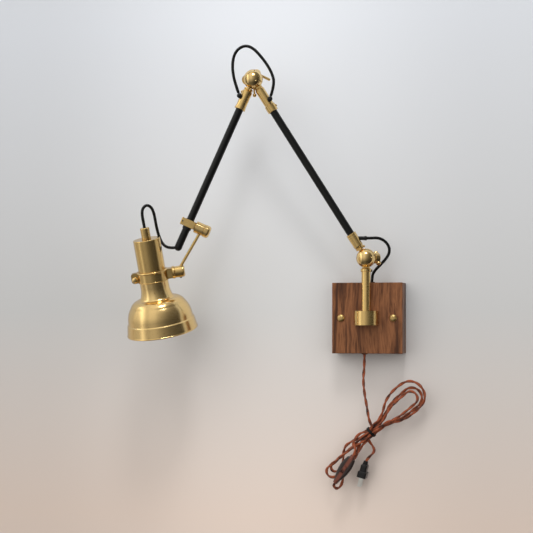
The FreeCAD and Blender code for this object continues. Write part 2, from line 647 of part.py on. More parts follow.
lower_port = flex_port(BUSH_R, BUSH_AT, BASE_FLEX_OUT, LOWER_FERRULE_R)
upper_port = flex_port(GROMMET_NECK_R, ARM1_GROMMET_AT, ARM1_GROMMET_OUT, UPPER_BODY_R)
arm1_tube = tube(TUBE_R, TUBE_WALL, ARM1_TUBE_FROM, ARM1_TUBE_TO).cut(lower_port).cut(upper_port)
base_bush = cylinder(BUSH_R - THREAD_EASE, BUSH_OUT + 4.0, V(0, 0, BUSH_AT) + BASE_FLEX_OUT * 7.0, BASE_FLEX_OUT)
base_bush = base_bush.fuse(cylinder(BUSH_R + 0.5, 3.2, V(0, 0, BUSH_AT) + BASE_FLEX_OUT * (BUSH_OUT + 7.6),
                                    BASE_FLEX_OUT))
base_bush = base_bush.cut(cylinder(FLEX_R + RUN_FIT, 40, V(0, 0, BUSH_AT), BASE_FLEX_OUT))
arm1_grommet = placed(make_grommet(UPPER_BODY_R), aimed(V(0, 0, ARM1_GROMMET_AT), ARM1_GROMMET_OUT, V(0, 0, 1)))

export("base_ball", arm1(make_ball(NECK_ROOT)))
export("lower_ferrule", arm1(make_lower_ferrule().cut(lower_port)))
export("arm1_tube", arm1(arm1_tube))
export("upper_fitting", arm1(make_upper_fitting().cut(upper_port)))
export("arm1_grommets", arm1(base_bush), arm1(arm1_grommet))


# ---------------------------------------------------------------- elbow, carried by arm 1
ELBOW_PLACE = place(ELBOW)


def make_elbow_cup():
    cup = make_cup(*ELBOW_SLOT, ELBOW_CLAMP_DIR, ARM1_DIR * -1, SEAT_START, ELBOW_CAP_SCREWS)
    cup = cup.fuse(cylinder(NECK_R, 10, ARM1_DIR * -SEAT_START, ARM1_DIR * -1))
    lobe_front = ARM2_LIP_R - 0.2
    lobe = Part.makeSphere(LOBE_R, V(-10.6, lobe_front + 3.4, 1.5))
    lobe = lobe.cut(block(-40, 40, -40, lobe_front, -40, 40)).cut(Part.makeSphere(CUP_IN_R))
    cup = cup.fuse(lobe.cut(cylinder(TRUNNION_R + RUN_FIT, 30, V(0, 0, 0), V(0, 1, 0))))
    return cup.cut(cylinder(STOP_R, 20, lean(STOP_ANGLE) * (CUP_OUT_R - 2.5), lean(STOP_ANGLE)))


def make_stop_pin():
    direction = lean(STOP_ANGLE)
    pin = cylinder(STOP_R, STOP_REACH - CUP_OUT_R + 2.5, direction * (CUP_OUT_R - 2.5), direction)
    return pin.fuse(Part.makeSphere(STOP_BALL_R, direction * STOP_REACH))


export("elbow_cup", arms(make_elbow_cup(), ELBOW_PLACE))
export("elbow_cap", arms(make_cap(ELBOW_CAP_SCREWS, V(3.9, -14.0, -3.4)), ELBOW_PLACE))
export("arm1_fixings", *[arms(s, ELBOW_PLACE) for s in make_cap_screws(ELBOW_CAP_SCREWS)],
       arms(make_stop_pin(), ELBOW_PLACE),
       arm1(set_screw_at(*LOWER_SET)), arm1(set_screw_at(*UPPER_SET)))
export("elbow_clamp_screw", arms(elbow_knob, ELBOW_PLACE), arms(lever, ELBOW_PLACE))

# ---------------------------------------------------------------- arm 2, drawn along Z from the elbow
ARM2_TUBE_FROM = ARM2_FERRULE_END - TUBE_GRIP
ARM2_SIDE = V(-0.5, -math.sqrt(0.75), 0)
ARM2_SETS = [(V(ARM2_FERRULE_R, 0, 26.5), V(1, 0, 0), SET_DEPTH),
             (ARM2_SIDE * RING_R + V(0, 0, FERRULE_START + 1.8), ARM2_SIDE, SET_DEPTH)]
BOOT_R = TUBE_R - 0.1
BOOT_FLEX_OUT = V(-1, 0, -0.12).normalize()


def arm2(shape):
    return arms(shape, ARM2_LINE)


def make_arm2_ferrule():
    end = ARM2_FERRULE_END
    body = turned([(0, FERRULE_START), (RING_R - 0.8, FERRULE_START), (RING_R, FERRULE_START + 0.8),
                   (RING_R, FERRULE_START + 3.0), (RING_R - 0.7, FERRULE_START + 3.6),
                   (ARM2_FERRULE_R, FERRULE_START + 6.0), (ARM2_FERRULE_R, end - 9),
                   ((ARM2_FERRULE_R + 0.3, end - 4.5), (ARM2_LIP_R, end - 0.6)), (ARM2_LIP_R - 0.4, end),
                   (0, end)])
    body = body.cut(cylinder(TUBE_R, TUBE_GRIP + 1, V(0, 0, ARM2_TUBE_FROM)))
    for spot in ARM2_SETS:
        body = body.cut(set_hole(*spot))
    return body.cut(cylinder(NECK_R, NECK_ROOT - FERRULE_START + 1, V(0, 0, FERRULE_START - 1)))


def make_end_boot():
    """Rounded rubber plug in the tube's open end, bored sideways for the flex."""
    ball = Part.makeSphere(BOOT_R, V(0, 0, ARM2_END)).cut(cylinder(20, 20, V(0, 0, ARM2_END - 20)))
    plug = cylinder(TUBE_R - TUBE_WALL - THREAD_EASE, 10, V(0, 0, ARM2_END - 10))
    out = V(BOOT_FLEX_OUT.dot(lean(ARM2_LEAN - 90)), 0, BOOT_FLEX_OUT.dot(ARM2_DIR))
    return ball.fuse(plug).cut(cylinder(FLEX_R + RUN_FIT, 20, V(0, 0, ARM2_END) + out * 1.5, out))


arm2_port = flex_port(GROMMET_NECK_R, ARM2_GROMMET_AT, ARM2_GROMMET_OUT, ARM2_FERRULE_R)
arm2_tube = tube(TUBE_R, TUBE_WALL, ARM2_TUBE_FROM, ARM2_END).cut(arm2_port)
arm2_grommet = placed(make_grommet(ARM2_FERRULE_R), aimed(V(0, 0, ARM2_GROMMET_AT), ARM2_GROMMET_OUT, V(0, 0, 1)))

export("elbow_ball", arm2(make_ball(NECK_ROOT)))
export("arm2_ferrule", arm2(make_arm2_ferrule().cut(arm2_port)))
export("arm2_tube", arm2(arm2_tube))
export("arm2_grommet", arm2(arm2_grommet))
export("arm2_end_boot", arm2(make_end_boot()))
export("arm2_set_screws", *[arm2(set_screw_at(*spot)) for spot in ARM2_SETS])

# ---------------------------------------------------------------- tube clamp and its pivot
LINER_R = TUBE_R + RUN_FIT + LINER_T
PINCH_X = -(LINER_R + CLAMP_LEFT) / 2


def make_liner():
    """Plastic sleeve that slides on the tube, longer below the clamp than above it."""
    start = -CLAMP_W / 2 - 1.0
    sleeve = cylinder(LINER_R, LINER_L, V(0, 0, start))
    return sleeve.cut(cylinder(TUBE_R + RUN_FIT, LINER_L + 2, V(0, 0, start - 1)))


def make_tube_clamp():
    half = CLAMP_W / 2
    body = block(-CLAMP_LEFT, CLAMP_RIGHT, -CLAMP_HALF_Y, CLAMP_HALF_Y, -half, half)
    body = body.makeFillet(1.0, [e for e in body.Edges if e.BoundBox.ZLength > CLAMP_W - 1])
    body = body.cut(cylinder(LINER_R + RUN_FIT, CLAMP_W + 2, V(0, 0, -half - 1)))
    body = body.cut(block(-CLAMP_LEFT - 1, 0, -0.8, 0.8, -half - 1, half + 1))
    body = body.cut(block(PINCH_X - 2.2, PINCH_X + 2.2, -CLAMP_HALF_Y - 1, PINCH_DEPTH - CLAMP_HALF_Y, -3.6, 3.6))
    body = body.cut(cylinder(PINCH_R + HOLE_EASE, CLAMP_HALF_Y + 1, V(PINCH_X, 0, 0), V(0, -1, 0)))
    body = body.cut(cylinder(PINCH_R + THREAD_EASE, CLAMP_HALF_Y + 1, V(PINCH_X, 0, 0), V(0, 1, 0)))
    return body.cut(cylinder(PIVOT_R + THREAD_EASE, 6, V(LINER_R + 1.2, 0, 0), V(1, 0, 0)))


def make_pinch_screw():
    seat = CLAMP_HALF_Y - PINCH_DEPTH
    head = slotted(cylinder(1.9, 1.8), 1.9, 1.8, 0.6, 0.6)
    head = placed(head, aimed(V(PINCH_X, -seat, 0), V(0, -1, 0), V(0, 0, 1)))
    return head.fuse(cylinder(PINCH_R, seat + 6.5, V(PINCH_X, 6.5, 0), V(0, -1, 0)))


def bevelled(radius, start, length, near=0.6, far=0.6):
    """A round barrel along Z with broken edges."""
    end = start + length
    return turned([(0, start), (radius - near, start), (radius, start + near), (radius, end - far),
                   ((radius - far * 0.3, end - far * 0.3), (radius - far, end)), (0, end)])


KNOB_START = CLAMP_RIGHT + BARREL_L + 2 * FREE_GAP
rod_dir = (ROD_FOOT - ROD_TOP).normalize()
tie_rod = between(ROD_R, ROD_TOP + rod_dir * (PIVOT_R + 1.4), ROD_FOOT - rod_dir * (PIN_R + 3.2))

pivot_stud = cylinder(PIVOT_R, KNOB_START + 6 - LINER_R - 1.4, V(0, 0, LINER_R + 1.4))
rod_eye = bevelled(BARREL_R, CLAMP_RIGHT + FREE_GAP, BARREL_L).cut(
    cylinder(PIVOT_R + RUN_FIT, 60))
pivot_knob = bevelled(KNOB_R, KNOB_START, KNOB_L, 0.8, 4.8).cut(
    cylinder(PIVOT_R + RUN_FIT, 6.4, V(0, 0, KNOB_START - 0.1)))

export("clamp_liner", arms(make_liner(), CLAMP_LINE))
export("tube_clamp", arms(make_tube_clamp(), CLAMP_LINE))
export("clamp_pinch_screw", arms(make_pinch_screw(), CLAMP_LINE))
export("pivot_stud", arms(pivot_stud, PIVOT_LINE))
export("pivot_knob", arms(pivot_knob, PIVOT_LINE))
export("rod_eye", placed(placed(rod_eye, PIVOT_LINE).cut(tie_rod), ARM_PLANE))
export("tie_rod", placed(tie_rod, ARM_PLANE))

# ---------------------------------------------------------------- lower pivot and head ring
RING_IN_R = CUP_R + RUN_FIT
RING_OUT_R = RING_IN_R + RING_T
LOWER_BARREL_START = YOKE_END + FREE_GAP

lower_barrel = bevelled(LOWER_BARREL_R, LOWER_BARREL_START, LOWER_BARREL_L, 0.6, 3.0)
lower_barrel = lower_barrel.cut(cylinder(PIN_R + RUN_FIT, PIN_L + 0.5, V(0, 0, LOWER_BARREL_START)))
lower_barrel = lower_barrel.cut(cylinder(SET_R + THREAD_EASE, 20, V(0, 0, LOWER_BARREL_START + 8.5), V(-1, 0, 0)))
barrel_screw = set_screw_at(V(-LOWER_BARREL_R, 0, LOWER_BARREL_START + 8.5), V(-1, 0, 0),
                            LOWER_BARREL_R - PIN_R - 0.3)
head_pin = cylinder(PIN_R, PIN_L + 6, V(0, 0, YOKE_END - 6))


def make_head_ring():
    half = RING_BAND / 2
    band = turned([(0, -half), (RING_OUT_R - 0.3, -half), ((RING_OUT_R + 0.6, 0.8 - half), (RING_OUT_R, 1.6 - half)),
                   (RING_OUT_R, half - LIP_H),
                   ((RING_OUT_R + LIP_OUT, half - LIP_H / 2), (RING_OUT_R - 0.4, half)), (0, half)])
    arm = block(RING_IN_R, YOKE_END, -6.6, 6.6, -8.6, 8.6)
    cheek = placed(bevelled(YOKE_R, YOKE_END - 4.2, 4.2, 0.8, 0.6), place(V(0, 0, 0), FreeCAD.Rotation(V(0, 1, 0), 90)))
    ears = block(-EAR_REACH, -RING_IN_R, -EAR_GAP / 2 - EAR_T, EAR_GAP / 2 + EAR_T, -half + 0.6, half - 0.6)
    ears = ears.makeFillet(4.5, [e for e in ears.Edges if e.BoundBox.YLength > 3 and e.CenterOfMass.x < 1 - EAR_REACH])
    ring = band.fuse(arm).fuse(cheek).fuse(ears)
    ring = ring.cut(cylinder(RING_IN_R, RING_BAND + 6, V(0, 0, -half - 3)))
    ring = ring.cut(block(-EAR_REACH - 1, 0, -EAR_GAP / 2, EAR_GAP / 2, -half - 1, half + 1))
    front = cylinder(RING_SCREW_R + HOLE_EASE, 20, V(-RING_SCREW_X, 0, RING_SCREW_Z), V(0, -1, 0))
    back = cylinder(RING_SCREW_R + THREAD_EASE, 20, V(-RING_SCREW_X, 0, RING_SCREW_Z), V(0, 1, 0))
    return ring.cut(front).cut(back).cut(cylinder(PIN_R, 6, V(YOKE_END - 6, 0, 0), V(1, 0, 0)))


def make_ring_screw():
    face = EAR_GAP / 2 + EAR_T
    head = slotted(round_head(RING_SCREW_HEAD_R, 4.2, 2.6), RING_SCREW_HEAD_R, 4.2, 1.2, 1.3)
    screw = head.fuse(cylinder(RING_SCREW_R, 2 * face + 2, V(0, 0, 0), V(0, 0, -1)))
    return placed(screw, aimed(V(-RING_SCREW_X, -face, RING_SCREW_Z), V(0, -1, 0), V(0.35, 0, 1)))


export("lower_barrel", placed(placed(lower_barrel, YOKE_LINE).cut(tie_rod), ARM_PLANE))
export("barrel_set_screw", arms(barrel_screw, YOKE_LINE))
export("head_pin", arms(head_pin, YOKE_LINE))
export("head_ring", arms(make_head_ring(), HEAD_LINE))
export("ring_screw", arms(make_ring_screw(), HEAD_LINE))


# ---------------------------------------------------------------- head, drawn along Z from the ring's centre
def make_socket_cup():
    inner = CUP_R - CUP_WALL_T
    cup = turned([(0, CUP_BOTTOM), (CUP_R, CUP_BOTTOM), (CUP_R, CUP_TOP - 1.2),
                  ((CUP_R - 0.35, CUP_TOP - 0.35), (CUP_R - 1.2, CUP_TOP)), (0, CUP_TOP)])
    cup = cup.cut(cylinder(inner, CUP_TOP - 2.0 - CUP_BOTTOM, V(0, 0, CUP_BOTTOM)))
    return cup.cut(cylinder(TAIL_R + RUN_FIT, 6, V(0, 0, CUP_TOP - 3)))


def make_nipple():
    top = CUP_TOP + NIPPLE_L
    body = turned([(0, SOCKET_TOP - TAIL_GRIP), (TAIL_R, SOCKET_TOP - TAIL_GRIP), (TAIL_R, CUP_TOP),
                   (NIPPLE_R, CUP_TOP), (NIPPLE_R, top - 1.0), (NIPPLE_R - 1.0, top), (0, top)])
    return body.cut(cylinder(FLEX_R + RUN_FIT, 60, V(0, 0, SOCKET_TOP - TAIL_GRIP - 1)))


def shade_outline(shift):
    """Outer outline of the shade from its neck to its rim, moved in and down by shift."""
    neck_r = CUP_R + THREAD_EASE + SHADE_NECK_T
    curve = [(neck_r, SHADE_NECK_TOP), (neck_r, -18.0), ((24.9, -27.5), (27.2, -35.5)),
             ((29.6, -38.4), (33.4, -39.4)), ((41.0, -42.6), (46.6, -49.6)), ((51.4, -57.8), (54.6, -69.4)),
             (55.4, -77.0), (57.2, -78.6), (SHADE_RIM_R, SHADE_RIM_Z)]

    def moved(p):
        return (p[0] - shift, p[1] - shift * 0.5)
    return [(moved(p[0]), moved(p[1])) if isinstance(p[0], tuple) else moved(p) for p in curve]


def make_shade():
    outer = turned([(0, SHADE_NECK_TOP)] + shade_outline(0) + [(0, SHADE_RIM_Z)])
    inner = turned([(0, SHADE_NECK_TOP)] + shade_outline(SHADE_T) + [(0, SHADE_RIM_Z - SHADE_T * 0.5)])
    shade = outer.cut(inner).cut(cylinder(CUP_R + THREAD_EASE, 20, V(0, 0, CUP_BOTTOM - 0.1)))
    bead = Part.makeTorus(SHADE_RIM_R - 1.0, 1.4, V(0, 0, SHADE_RIM_Z))
    return shade.fuse(bead)


def make_lamp_socket():
    body = turned([(0, SOCKET_MOUTH), (SOCKET_R, SOCKET_MOUTH), (SOCKET_R, 22), (SOCKET_R - 2.5, 26),
                   (SOCKET_R - 2.5, SOCKET_TOP - 5), (SOCKET_R - 6, SOCKET_TOP), (0, SOCKET_TOP)])
    body = body.cut(cylinder(SHELL_R + THREAD_EASE, 36, V(0, 0, SOCKET_MOUTH)))
    return body.cut(cylinder(TAIL_R, TAIL_GRIP, V(0, 0, SOCKET_TOP - TAIL_GRIP)))


def make_bulb_base():
    return turned([(0, GLASS_TOP), (BULB_BASE_R, GLASS_TOP), (BULB_BASE_R, 4), (9, 8), (4.5, 10), (4.5, 12), (0, 12)])


def make_bulb_glass():
    def outline(wall):
        return [(0, GLASS_TOP), (BULB_BASE_R - 0.4 - wall, GLASS_TOP), (BULB_BASE_R - 0.2 - wall, GLASS_TOP - 6),
                ((18.6 - wall, -42.0), (BULB_R - wall, -60.0)),
                ((BULB_R * 0.76 - wall, -78.8 + wall * 0.7), (0.8, BULB_TIP + wall)), (0, BULB_TIP + wall)]
    return turned(outline(0)).cut(turned(outline(GLASS_T)))


def head(shape):
    return arms(shape, HEAD_LINE)


socket_shell = tube(SHELL_R, 0.5, SOCKET_MOUTH + 1, SOCKET_MOUTH + 33)
export("socket_cup", head(make_socket_cup()))
export("cord_nipple", head(make_nipple()))
export("shade", head(make_shade()))
export("lamp_socket", head(make_lamp_socket()))
export("socket_shell", head(socket_shell))
export("bulb_base", head(make_bulb_base()))
export("bulb_glass", head(make_bulb_glass()))


# ---------------------------------------------------------------- flexes and the mains cord
def lead_wire(points, name):
    """Straight runs joined by tangent arcs; each arc is 0.45 of its shorter run, as large as it allows."""
    edges = []
    here = points[0]
    tightest = []
    for i in range(1, len(points) - 1):
        back, ahead = points[i - 1] - points[i], points[i + 1] - points[i]
        turn = math.pi - back.getAngle(ahead)
        reach = 0.45 * min(back.Length, ahead.Length)
        radius = reach / math.tan(turn / 2)
        start = points[i] + back.normalize() * reach
        end = points[i] + ahead.normalize() * reach
        inward = (back + ahead).normalize()
        middle = points[i] + inward * (math.hypot(reach, radius) - radius)
        edges.append(Part.LineSegment(here, start).toShape())
        edges.append(Part.Arc(start, middle, end).toShape())
        tightest.append(round(radius, 1))
        here = end
    edges.append(Part.LineSegment(here, points[-1]).toShape())
    wire = Part.Wire(edges)
    print(name, "length", round(wire.Length, 1), "radii", tightest)
    return wire


def swept(wire, radius):
    """A round tube along a wire."""
    start = wire.Edges[0].valueAt(wire.Edges[0].FirstParameter)
    along = wire.Edges[0].tangentAt(wire.Edges[0].FirstParameter)
    profile = Part.Wire(Part.Circle(start, along, radius).toShape())
    solid = Part.Wire(wire.Edges).makePipeShell([profile], True, False)
    expected = wire.Length * math.pi * radius * radius
    print("   volume against section times length", round(solid.Volume / expected, 4))
    return solid


def vectors(rows, origin=V(0, 0, 0)):
    return [origin + V(*row) for row in rows]


# each route is in the arms' plane frame: right, back, up, from the ball or ring that it passes
BASE_FLEX_EXIT = BASE_BALL + ARM1_DIR * BUSH_AT
INLET = ARM_PLANE.inverse().multVec(V(INLET_X, HOLE_Y, BOX_HALF))
BASE_FLEX = [BASE_FLEX_EXIT + V(7.5, 0, 0), BASE_FLEX_EXIT + V(28.0, 0, 0)] + vectors([
    (20.0, 2.6, 34.2), (31.2, 5.5, 30.0), (39.5, 8.0, 20.5), (40.8, 10.5, 9.0),
    (33.5, 13.0, -2.5), (24.5, 17.5, -12.0), (16.0, 24.5, -21.2)], BASE_BALL)
BASE_FLEX += [INLET + V(0, 0, 10.5), INLET + V(0, 0, TERMINAL_TOP - BOX_HALF)]

ELBOW_FLEX = vectors([
    (-28.6, -8.6, -11.9), (-33.0, -10.0, 4.6), (-34.4, -11.0, 22.1), (-31.8, -11.5, 38.6),
    (-23.4, -12.0, 50.1), (-10.9, -12.0, 54.6), (1.1, -12.0, 49.1), (12.1, -12.0, 37.6),
    (23.6, -12.0, 22.6), (32.6, -12.0, 6.1), (36.0, -12.0, -10.4)], ELBOW)
ELBOW_FLEX_START = ARM2_LINE.multVec(V(0, 0, ARM2_GROMMET_AT) + ARM2_GROMMET_OUT * (ARM2_FERRULE_R + 2.6))
ELBOW_FLEX_END = ARM1_LINE.multVec(V(0, 0, ARM1_GROMMET_AT) + ARM1_GROMMET_OUT * (UPPER_BODY_R + 2.6))

NIPPLE_TOP = HEAD_LINE.multVec(V(0, 0, CUP_TOP + NIPPLE_L))
BOOT_EXIT = ELBOW + ARM2_DIR * ARM2_END
HEAD_FLEX = vectors([
    (-16.3, -22.6, 100.6), (-15.5, -22.6, 110.6), (-9.3, -19.6, 117.2), (-1.9, -14.4, 114.2),
    (2.1, -8.6, 105.6), (4.3, -2.0, 91.6), (6.7, 4.0, 77.1), (10.7, 7.0, 63.1), (16.7, 4.0, 52.1)], RING_CENTRE)


def grommet_to(grommet_centre, first, reach):
    """Where a flex leaves its round grommet on the way to the first point of its route."""
    return grommet_centre + (first - grommet_centre).normalize() * reach


elbow_points = ([grommet_to(ELBOW_FLEX_START, ELBOW_FLEX[0], GROMMET_BALL_R + 0.15)] + ELBOW_FLEX
                + [grommet_to(ELBOW_FLEX_END, ELBOW_FLEX[-1], GROMMET_BALL_R + 0.15)])
head_points = ([HEAD_LINE.multVec(V(0, 0, SOCKET_TOP)), NIPPLE_TOP + HEAD_UP * 6.0] + HEAD_FLEX
               + [BOOT_EXIT + BOOT_FLEX_OUT * 15.5, BOOT_EXIT + BOOT_FLEX_OUT * 2.0])
base_flex = swept(lead_wire(BASE_FLEX, "flex_base"), FLEX_R)
elbow_flex = swept(lead_wire(elbow_points, "flex_elbow"), FLEX_R)
head_flex = swept(lead_wire(head_points, "flex_head"), FLEX_R)
export("flex_base", placed(base_flex, ARM_PLANE))
export("flex_elbow", placed(elbow_flex, ARM_PLANE))
export("flex_head", placed(head_flex, ARM_PLANE))

INNER_SIDE = TUBE_R - TUBE_WALL - FLEX_R - 0.2
export("arm1_inner_lead", arm1(cylinder(FLEX_R, ARM1_GROMMET_AT - 8 - NECK_ROOT - 20, V(-INNER_SIDE, 0, NECK_ROOT + 20))))
export("arm2_inner_lead", arm2(cylinder(FLEX_R, ARM2_END - 12 - ARM2_GROMMET_AT - 8,
                                        V(-INNER_SIDE, 0, ARM2_GROMMET_AT + 8))))


# the mains cord: down from the box to a tie, then three loops above it and two below, an in-line
# switch and a plug.  The tied bundle is drawn along its own axis: along, across, towards the front.
TIE = V(4.1, -25.0, -193.6)
BUNDLE = aimed(TIE, V(0, -1, 0), V(math.cos(math.radians(BUNDLE_TILT)), 0, math.sin(math.radians(BUNDLE_TILT))))
PITCH = 2 * MAINS_R + STRAND_GAP
ROW = PITCH * math.sqrt(3) / 2
# strand places in the tie: across and towards the front
SLOTS = {"front_right": (PITCH / 2, ROW), "front_left": (-PITCH / 2, ROW), "centre": (0, 0),
         "right": (PITCH, 0), "left": (-PITCH, 0), "back_right": (PITCH / 2, -ROW),
         "back_left": (-PITCH / 2, -ROW)}
SWITCH_TOP = V(-47.7, -11.3, 13.5)
SWITCH_FOOT = V(-102.4, -26.0, 13.5)
SWITCH_DIR = (SWITCH_FOOT - SWITCH_TOP).normalize()
PLUG_TOP = V(-40.4, -31.5, -6.0)
PLUG_DIR = V(-0.825, -0.565, 0).normalize()
LEAD_END = V(14.0, 20.5, 11.5)


def through_tie(slot, side):
    """Two knots where a strand passes straight through the tie; side is +1 coming from above."""
    across, front = SLOTS[slot]
    heading = V(-side, 0, 0)
    return [(V(side * STRAIGHT, across, front), heading), (V(-side * STRAIGHT, across, front), heading)]


def loop(side, reach, out_width, back_width, front):
    """Three knots of one loop: widest going out, the tip, widest coming back."""
    return [(V(side * reach * 0.70, out_width, front), V(side, 0, 0)),
            (V(side * reach, (out_width + back_width) / 2, front), V(0, math.copysign(1, back_width - out_width), 0)),
            (V(side * reach * 0.70, back_width, front), V(-side, 0, 0))]


def arc_between(start, heading, end):
    """The arc, or line, that leaves start along heading and passes through end."""
    chord = end - start
    normal = heading.cross(chord)
    if normal.Length < 1e-6 * chord.Length:
        return Part.LineSegment(start, end).toShape()
    inward = normal.cross(heading).normalize()
    radius = chord.Length ** 2 / (2 * chord.dot(inward))
    centre = start + inward * radius
    middle = ((start - centre) + (end - centre)).normalize() * radius
    if chord.dot(heading) < 0:
        middle = middle * -1
    return Part.Arc(start, centre + middle, end).toShape()


def knot_wire(knots):
    """Pairs of tangent arcs between knots, each knot a point and a heading."""
    edges = []
    for (start, out), (end, into) in zip(knots, knots[1:]):
        gap, both = end - start, out + into
        spread = 2 * (1 - out.dot(into))
        reach = (gap.Length ** 2 / (4 * gap.dot(into)) if spread < 1e-9 else
                 (-gap.dot(both) + math.sqrt(gap.dot(both) ** 2 + spread * gap.Length ** 2)) / spread)
        if gap.normalize().cross(out).Length < 1e-9 and spread < 1e-9:
            edges.append(Part.LineSegment(start, end).toShape())
            continue
        middle = (start + end + (out - into) * reach) * 0.5
        edges.append(arc_between(start, out, middle))
        edges.append(arc_between(end, into * -1, middle))
    return Part.Wire(Part.__sortEdges__(edges))


def least_gap(wire, radius, step=1.5):
    """Least free gap between stretches of a tube, measured on points along it."""
    points = wire.discretize(Number=int(wire.Length / step))
    apart = int(5 * radius / step) + 2
    gaps = [(points[i].distanceToPoint(points[j]) - 2 * radius, i, j)
            for i in range(len(points)) for j in range(i + apart, len(points))]
    return min(gaps)


def gap_between(first, second, radius):
    return min(p.distanceToPoint(q) for p in first.discretize(Distance=1.5)
               for q in second.discretize(Distance=1.5)) - 2 * radius


hank_knots = ([(LEAD_END, V(-0.537, -0.844, 0).normalize())] + through_tie("front_right", 1)
              + loop(-1, 97.0, 1.5, -12.5, -9.5) + through_tie("centre", -1)
              + loop(1, 101.0, 11.5, -12.0, 5.5) + through_tie("front_left", 1)
              + loop(-1, 105.0, 2.0, -18.0, 4.5) + through_tie("left", -1)
              + loop(1, 115.0, -22.5, 29.5, 0.0) + through_tie("right", 1)
              + [(V(-27.0, 9.0, 6.0), V(-0.9, -0.25, 0.35).normalize()), (SWITCH_TOP, SWITCH_DIR)])
plug_knots = ([(SWITCH_FOOT, SWITCH_DIR), (SWITCH_FOOT + V(-7.0, -7.5, -7.5), V(0.15, -0.6, -0.78).normalize()),
               (SWITCH_FOOT + V(2.4, -9.3, -15.5), V(0.94, 0.34, 0).normalize()),
               (V(-72.0, -8.0, -2.4), V(0.62, 0.78, -0.05).normalize()),
               (V(-48.0, 10.5, -4.6), V(1, -0.03, -0.03).normalize())]
              + through_tie("back_right", -1) + loop(1, 107.0, 16.5, -17.5, -7.5) + through_tie("back_left", 1)
              + [(V(-14.0, -20.5, -7.0), V(-0.35, -0.93, 0).normalize()), (V(-25.5, -29.5, -6.6), V(-1, -0.05, 0)),
                 (PLUG_TOP, PLUG_DIR)])
hank_wire, plug_wire = knot_wire(hank_knots), knot_wire(plug_knots)
print("cord_hank length", round(hank_wire.Length, 1), "least gap", least_gap(hank_wire, MAINS_R))
print("plug_lead length", round(plug_wire.Length, 1), "least gap", least_gap(plug_wire, MAINS_R))
print("between them", round(gap_between(hank_wire, plug_wire, MAINS_R), 2))
cord_hank = swept(hank_wire, MAINS_R)
plug_lead = swept(plug_wire, MAINS_R)
export("cord_hank", placed(cord_hank, BUNDLE))
export("plug_lead", placed(plug_lead, BUNDLE))


# from the terminal block down through the box to the first knot of the tied bundle
lead_end = BUNDLE.multVec(LEAD_END)
lead_heading = BUNDLE.Rotation.multVec(hank_knots[0][1])
MAINS = [V(GLAND_X, HOLE_Y, TERMINAL_BOTTOM), V(GLAND_X, HOLE_Y, -80.0), V(-9.5, -27.5, -104.0),
         V(-6.5, -32.0, -128.0), lead_end - lead_heading * 18.0, lead_end]
mains_lead = swept(lead_wire(MAINS, "mains_lead"), MAINS_R)
export("mains_lead", mains_lead)

TIE_R = PITCH + MAINS_R + FREE_GAP
cord_tie = cylinder(TIE_R + TIE_T, TIE_W, V(-TIE_W / 2, 0, 0), V(1, 0, 0)).cut(
    cylinder(TIE_R, TIE_W, V(-TIE_W / 2, 0, 0), V(1, 0, 0)))
export("cord_tie", placed(cord_tie, BUNDLE))

# in-line switch and plug, drawn along Z from the cord's end with Y towards the front
SWITCH_LINE = aimed(SWITCH_TOP, SWITCH_DIR, V(-SWITCH_DIR.y, SWITCH_DIR.x, 0))
SWITCH_LENGTH = (SWITCH_FOOT - SWITCH_TOP).Length
SWITCH_MIDDLE = SWITCH_LENGTH / 2
BUTTON_REST = SWITCH_MIDDLE - BUTTON_TRAVEL / 2 - BUTTON_L / 2


def relief(start, end):
    """Tapered sleeve where a cord enters a case: narrow at start, wide at end."""
    low, high = min(start, end), max(start, end)
    r_low, r_high = (RELIEF_R, RELIEF_R + 1.6) if start < end else (RELIEF_R + 1.6, RELIEF_R)
    return Part.makeCone(r_low, r_high, high - low, V(0, 0, low))


def make_switch_case():
    """Front and back shells that meet on Y = 0."""
    start, end = RELIEF_L, SWITCH_LENGTH - RELIEF_L
    corners = [V(w, -SWITCH_HALF_T, z) for w, z in [(-SWITCH_TOE_W, end), (-SWITCH_HEEL_W, start),
                                                    (SWITCH_HEEL_W, start), (SWITCH_TOE_W, end)]]
    wide = SWITCH_LENGTH / 3
    outline = Part.Wire([Part.Arc(corners[0], V(-SWITCH_HALF_W, -SWITCH_HALF_T, wide), corners[1]).toShape(),
                         Part.LineSegment(corners[1], corners[2]).toShape(),
                         Part.Arc(corners[2], V(SWITCH_HALF_W, -SWITCH_HALF_T, wide), corners[3]).toShape(),
                         Part.LineSegment(corners[3], corners[0]).toShape()])
    body = Part.Face(outline).extrude(V(0, 2 * SWITCH_HALF_T, 0))
    body = body.makeFillet(3.6, [e for e in body.Edges if e.BoundBox.ZLength > 5])
    body = body.fuse(relief(0, start + 1)).fuse(relief(SWITCH_LENGTH, end - 1))
    hollow_w = BUTTON_FOOT_W + FREE_GAP
    inside = block(-hollow_w, hollow_w, 0.01, SWITCH_HALF_T - SHELL_T, SWITCH_MIDDLE - 13, SWITCH_MIDDLE + 13)
    slot = block(-BUTTON_HALF_W - FREE_GAP, BUTTON_HALF_W + FREE_GAP, 0.01, 20,
                 BUTTON_REST - FREE_GAP, BUTTON_REST + BUTTON_L + BUTTON_TRAVEL + FREE_GAP)
    front = body.common(block(-20, 20, 0, 20, -1, SWITCH_LENGTH + 1)).cut(inside).cut(slot)
    back = body.common(block(-20, 20, -20, 0, -1, SWITCH_LENGTH + 1))
    return front, back


